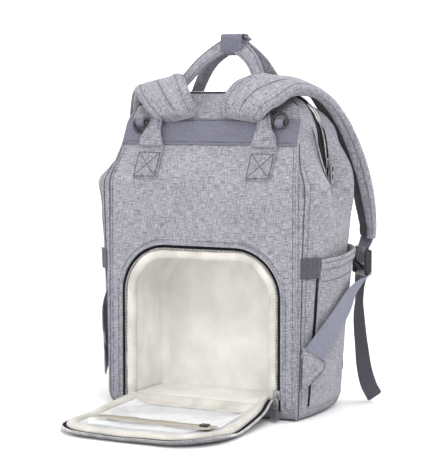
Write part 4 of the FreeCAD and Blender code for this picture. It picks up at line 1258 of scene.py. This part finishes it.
def door():
    """Bottle door, lying open: melange outside, zip round its rim, quilted cream inside."""
    body, up = DOOR_BEND, (0, 0, 1)
    rows = door_rows(3, 1.6, 0.4)
    sheet("door_under", rows, [MELANGE], 1.2, body, "melange_fabric", "door_shell", offset=1)
    rows = door_rim([(3.2, 0.9), (1.0, 1.2), (0, 3.0), (0.2, 5.0), (2.5, 6.5)])
    sheet("door_side", rows, [MELANGE], 0.8, body, "melange_fabric")
    rows = door_rim([(3.0, 5.8), (0.4, 6.4), (-2.4, 6.0), (-4.8, 5.2)])
    sheet("door_tape", rows, [BLACK_TAPE_AND_SLIT_SHADE], 1.0, body, "zip_tape", "door_zip_tape")
    path = [door_point(x, d, 5.2) for x, d in door_outline(-5.0, 240)]
    coil("door_coil", path, up, body, "zip_metal", 1.25, 1.9, 0.48)
    rows = door_rim([(2.0, 5.5), (1.6, 8.0), (3.6, 10.0), (7.5, 10.8), (11.5, 10.2), (13.8, 8.4), (14.0, 6.0),
                     (8, 5.2)])
    binding = mesh_from_rows("door_binding", rows)
    for v in binding.data.vertices:
        p = v.co / MM
        v.co.z += 0.5 * MM * ripple(p.x / 20, p.y / 20, 6)
    placed(dressed(binding, [CREAM_TRIM], 0.8), body, "cream_lining")
    for k, (inset, height) in enumerate(((3.0, 9.9), (12.9, 9.6))):
        path = [door_point(x, d, height) for x, d in door_outline(inset)]
        sew(f"binding_sewn_{k}", path, up, body, "cream_lining", 3.2, 2.2, material=PALE_THREAD)
    rows = door_rows(12, 7.6, 1.1, 4.0)
    sheet("door_inside", rows, [WHITE_LINING], 1.0, body, "cream_lining", "door_lining")


def door_pockets():
    """Clear vinyl pocket with its beige zip, and the narrow clear strip beyond the zip."""
    low, high = span("door_pocket_zip")
    far, near, half, middle = low[1], high[1], high[0], (low[1] + high[1]) / 2
    pouch_near = span("door_clear_pocket")[1][1]
    body = "bottle_door"

    def pouch(x, y):
        swell = 2.6 * (1 - x ** 4) * math.sin(math.pi * (y - near) / (pouch_near - near)) ** 0.6
        return x * 86, y, 10.4 + curl_at(x * 86, y) + swell + 0.8 * ripple(x * 3, y / 25, 9)

    def strip(x, y):
        wide = x * (82 - 16 * smooth_step(-y, 205, 240))
        return wide, y, (10.6 + 1.6 * math.sin(math.pi * (far - y) / 42) + curl_at(wide, y)
                         + 0.9 * ripple(x * 4, y / 12, 3))

    def tape(x, y):
        return x * (half - 1), y, (11.0 + 0.5 * math.cos((y - middle) / 3) + curl_at(x * half, y)
                                   + 0.8 * ripple(x * 6, y / 30, 1))

    def along(y, height, count):
        return [(x, y, height + curl_at(x, y) + 0.8 * ripple(x / half * 6, y / 30, 1))
                for x in np.linspace(-half + 3, half - 3, count)]

    across, up = np.linspace(-1, 1, 41), (0, 0, 1)
    rows = grid(pouch, across, np.linspace(pouch_near, near + 1, 26))
    sheet("clear_pouch", rows, [CLEAR], 0.5, DOOR_BEND, "clear_film", "door_clear_pocket")
    rows = grid(strip, across, np.linspace(far - 3, far - 40, 16))
    sheet("clear_strip", rows, [CLEAR], 0.5, body, "clear_film")
    rows = grid(tape, np.linspace(-1, 1, 61), np.linspace(near + 5, far - 5, 15))
    sheet("pouch_zip_tape", rows, [BEIGE_TAPE], 1.0, body, "beige_zip", "door_pocket_zip")
    coil("pouch_coil", along(middle, 12.1, 80), up, body, "beige_zip", 0.9, 1.5, 0.36, BEIGE_TAPE)
    for k, y in enumerate((near + 3.6, far - 3.6)):
        sew(f"pouch_sewn_{k}", along(y, 11.4, 60), up, body, "beige_zip", 3.0, 2.1, material=PALE_THREAD)


def hinge_tape():
    """Cloth strip on which the door hinges, at the foot of the opening."""
    profile = [(-64, 19.5), (-67.5, 19.3), (-70, 17.2), (-72.5, 13.5), (-75, 11.0), (-78, 10.2), (-82, 10.0)]
    rows = [[(x, y, z + smooth_step(-y, 66, 76) * door_lift(x, 0) + 0.7 * ripple(x / 16, y / 20, 2))
             for x in np.linspace(-101, 101, 61)] for y, z in profile]
    sheet("hinge_cloth", rows, [CREAM_TRIM], 1.4, DOOR_BEND, "cream_lining", "door_hinge_tape", offset=1)


# ---- front pocket on the far wall --------------------------------------------------------------------
def closed_arch(half, low, top, radius, count=150):
    """Outline of the far pocket all the way round, as (x, z)."""
    foot = 12.0
    points = [(x, low) for x in np.linspace(-half + foot, half - foot, 30)]
    points += [(half - foot + foot * math.sin(a), low + foot - foot * math.cos(a))
               for a in np.linspace(0, 1.57, 8)]
    points += [(half, z) for z in np.linspace(low + foot, top - radius, 20)[1:]]
    points += [(half - radius + radius * math.cos(a), top - radius + radius * math.sin(a))
               for a in np.linspace(0, 1.57, 16)[1:]]
    points += [(x, top) for x in np.linspace(half - radius, 0, 14)[1:]]
    right = [p for p in points if p[0] >= 0]
    path = np.array(right + [(-x, z) for x, z in right[::-1]] + right[:1], float)
    run = run_of(path)
    return read_off(path, run, np.linspace(0, run[-1], count + 1)[:-1])


def front_pocket():
    """Zipped pocket on the far wall, a padded panel with a gathered zip side."""
    half, low, top, depth = pocket_high[0], pocket_low[2], pocket_high[2], pocket_high[1] - FACE_Y
    radius = 52.0
    section = [(0.0, 0.6), (-0.4, 4), (0, 9), (0.2, 14), (0.6, 18), (3, 22), (9, 24), (20, 24.6)]
    rows = []
    for inset, lift in section:
        line = closed_arch(half - inset, low + inset, top - inset, radius - inset)
        rows.append([wall(x, z, lift * depth / 24.6, 1) for x, z in line])
    for k in np.linspace(0.12, 1, 12):
        row = [wall(x * (1 - k), z + (132 - z) * k, depth, 1) for x, z in line]
        for p in row:
            p[1] += 1.6 * ripple(p[0] / 40, 0, p[2] / 40)
        rows.append(row)
    obj = sheet("far_pocket", rows, [MELANGE], 1.2, "bag_body", "melange_fabric", "front_pocket", wrap=True,
                lay=0, offset=0)
    line = arch_path(half + 0.9, top + 0.9, radius + 1, 60, 200)
    rows = [[(x * k, wall(0, z, 0, 1)[1] + d, z) for x, z in line] for k, d in ((1, 7), (1.003, 10), (1, 13))]
    sheet("far_pocket_tape", rows, [BLACK_TAPE_AND_SLIT_SHADE], 1.0, "bag_body", "zip_tape", "front_pocket_zip", offset=0)
    coil("far_pocket_coil", [(x * 1.006, FACE_Y + 10.3, z + 0.6) for x, z in line], (0, 1, 0), "bag_body",
         "zip_metal", 1.1, 1.9, 0.45)


# ---- hardware kept from the CAD -------------------------------------------------------------------
def finish_hardware():
    """Real finishes on the exact CAD pieces that stay visible."""
    finishes = {"d_ring_left": GUNMETAL, "d_ring_right": GUNMETAL, "near_hoop_wire": STEEL,
                "far_hoop_wire": STEEL, "base_board": BOARD}
    for name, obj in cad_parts.items():
        material = finishes.get(name)
        if "slider" in name or "pull" in name:
            material = GUNMETAL if "door_pocket" in name else NICKEL
        if material is None or obj.hide_render:
            continue
        obj.data.materials.clear()
        obj.data.materials.append(material)


# ---- stage ------------------------------------------------------------------------------------------
# Name, place in metres, size in metres and power in watts of each soft light.
LIGHTS = [("key", (1.5, -2.0, 2.3), 1.6, 62), ("fill", (-2.3, -1.6, 1.5), 2.0, 38),
          ("top", (0.1, 0.2, 2.5), 1.8, 30), ("rim", (1.9, 1.3, 1.5), 1.2, 14),
          ("low", (-0.2, -2.6, 0.5), 1.4, 14)]
AIM = Vector((0, 0, 0.22))


def stage():
    """Pale floor that runs up into a backdrop, large soft lights and the camera."""
    scene = bpy.context.scene
    profile = [(-9.0, 0), (3.6, 0), (4.0, 0.04), (4.3, 0.16), (4.5, 0.4), (4.58, 0.75), (4.6, 3.2)]
    rows = [[(x / MM, y / MM, z / MM - 0.4) for x in np.linspace(-9.0, 9.0, 9)] for y, z in profile]
    floor = mesh_from_rows("floor", rows)
    s = Shader("studio_paper", rough=0.9, Emission_Color=(1, 1, 1, 1))
    s.surface("Base Color", s.ramp(s.noise((8, 8)), 0.2, (0.90, 0.90, 0.905), 0.8, 0.94))
    place = s.add("ShaderNodeSeparateXYZ")
    s.feed(place.inputs[0], s.coords((1, 1, 1), "Object"))
    glow = s.math("MULTIPLY", s.math("SUBTRACT", place.outputs["Y"], 1.0), 0.2, clamp=True)
    s.surface("Emission Strength", glow)
    floor.data.materials.append(s.mat)
    for face in floor.data.polygons:
        face.use_smooth = True
    for name, place, size, power in LIGHTS:
        data = bpy.data.lights.new(name, "AREA")
        data.size, data.energy = size, power
        lamp = bpy.data.objects.new(name, data)
        lamp.location = place
        lamp.rotation_euler = (AIM - Vector(place)).to_track_quat("-Z", "Y").to_euler()
        scene.collection.objects.link(lamp)
    world = bpy.data.worlds.new("studio")
    world.use_nodes = True
    background = world.node_tree.nodes["Background"]
    background.inputs["Color"].default_value = (1, 1, 1, 1)
    background.inputs["Strength"].default_value = 0.55
    scene.world = world
    scene.view_settings.view_transform = "Standard"
    data = bpy.data.cameras.new("camera")
    data.lens, data.sensor_width = 123.6, 36
    camera = bpy.data.objects.new("camera", data)
    camera.location = (0.9366, -1.8438, 0.400)
    camera.rotation_euler = (math.radians(85.30), 0, math.radians(27.2))
    scene.collection.objects.link(camera)
    scene.camera = camera


def build():
    stage()
    near_wall()
    far_wall()
    for hand in (1, -1):
        for side in (-1, 1):
            gusset_half(hand, side)
            handle_patch(hand, side)
    base_pan()
    seam_piping()
    for side, crown in ((-1, 20.0), (1, 30.5)):
        band(side)
        mouth_tape(side)
        carry_handle(side, crown)
    d_ring_loops()
    handle_wrap()
    for hand in (1, -1):
        for make in (shoulder_strap, strap_ends, ladder_lock, side_pocket, pocket_elastic, anchor):
            make(hand)
    for make in (opening, liner, main_lining, door, door_pockets, hinge_tape, front_pocket, finish_hardware):
        make()


build()
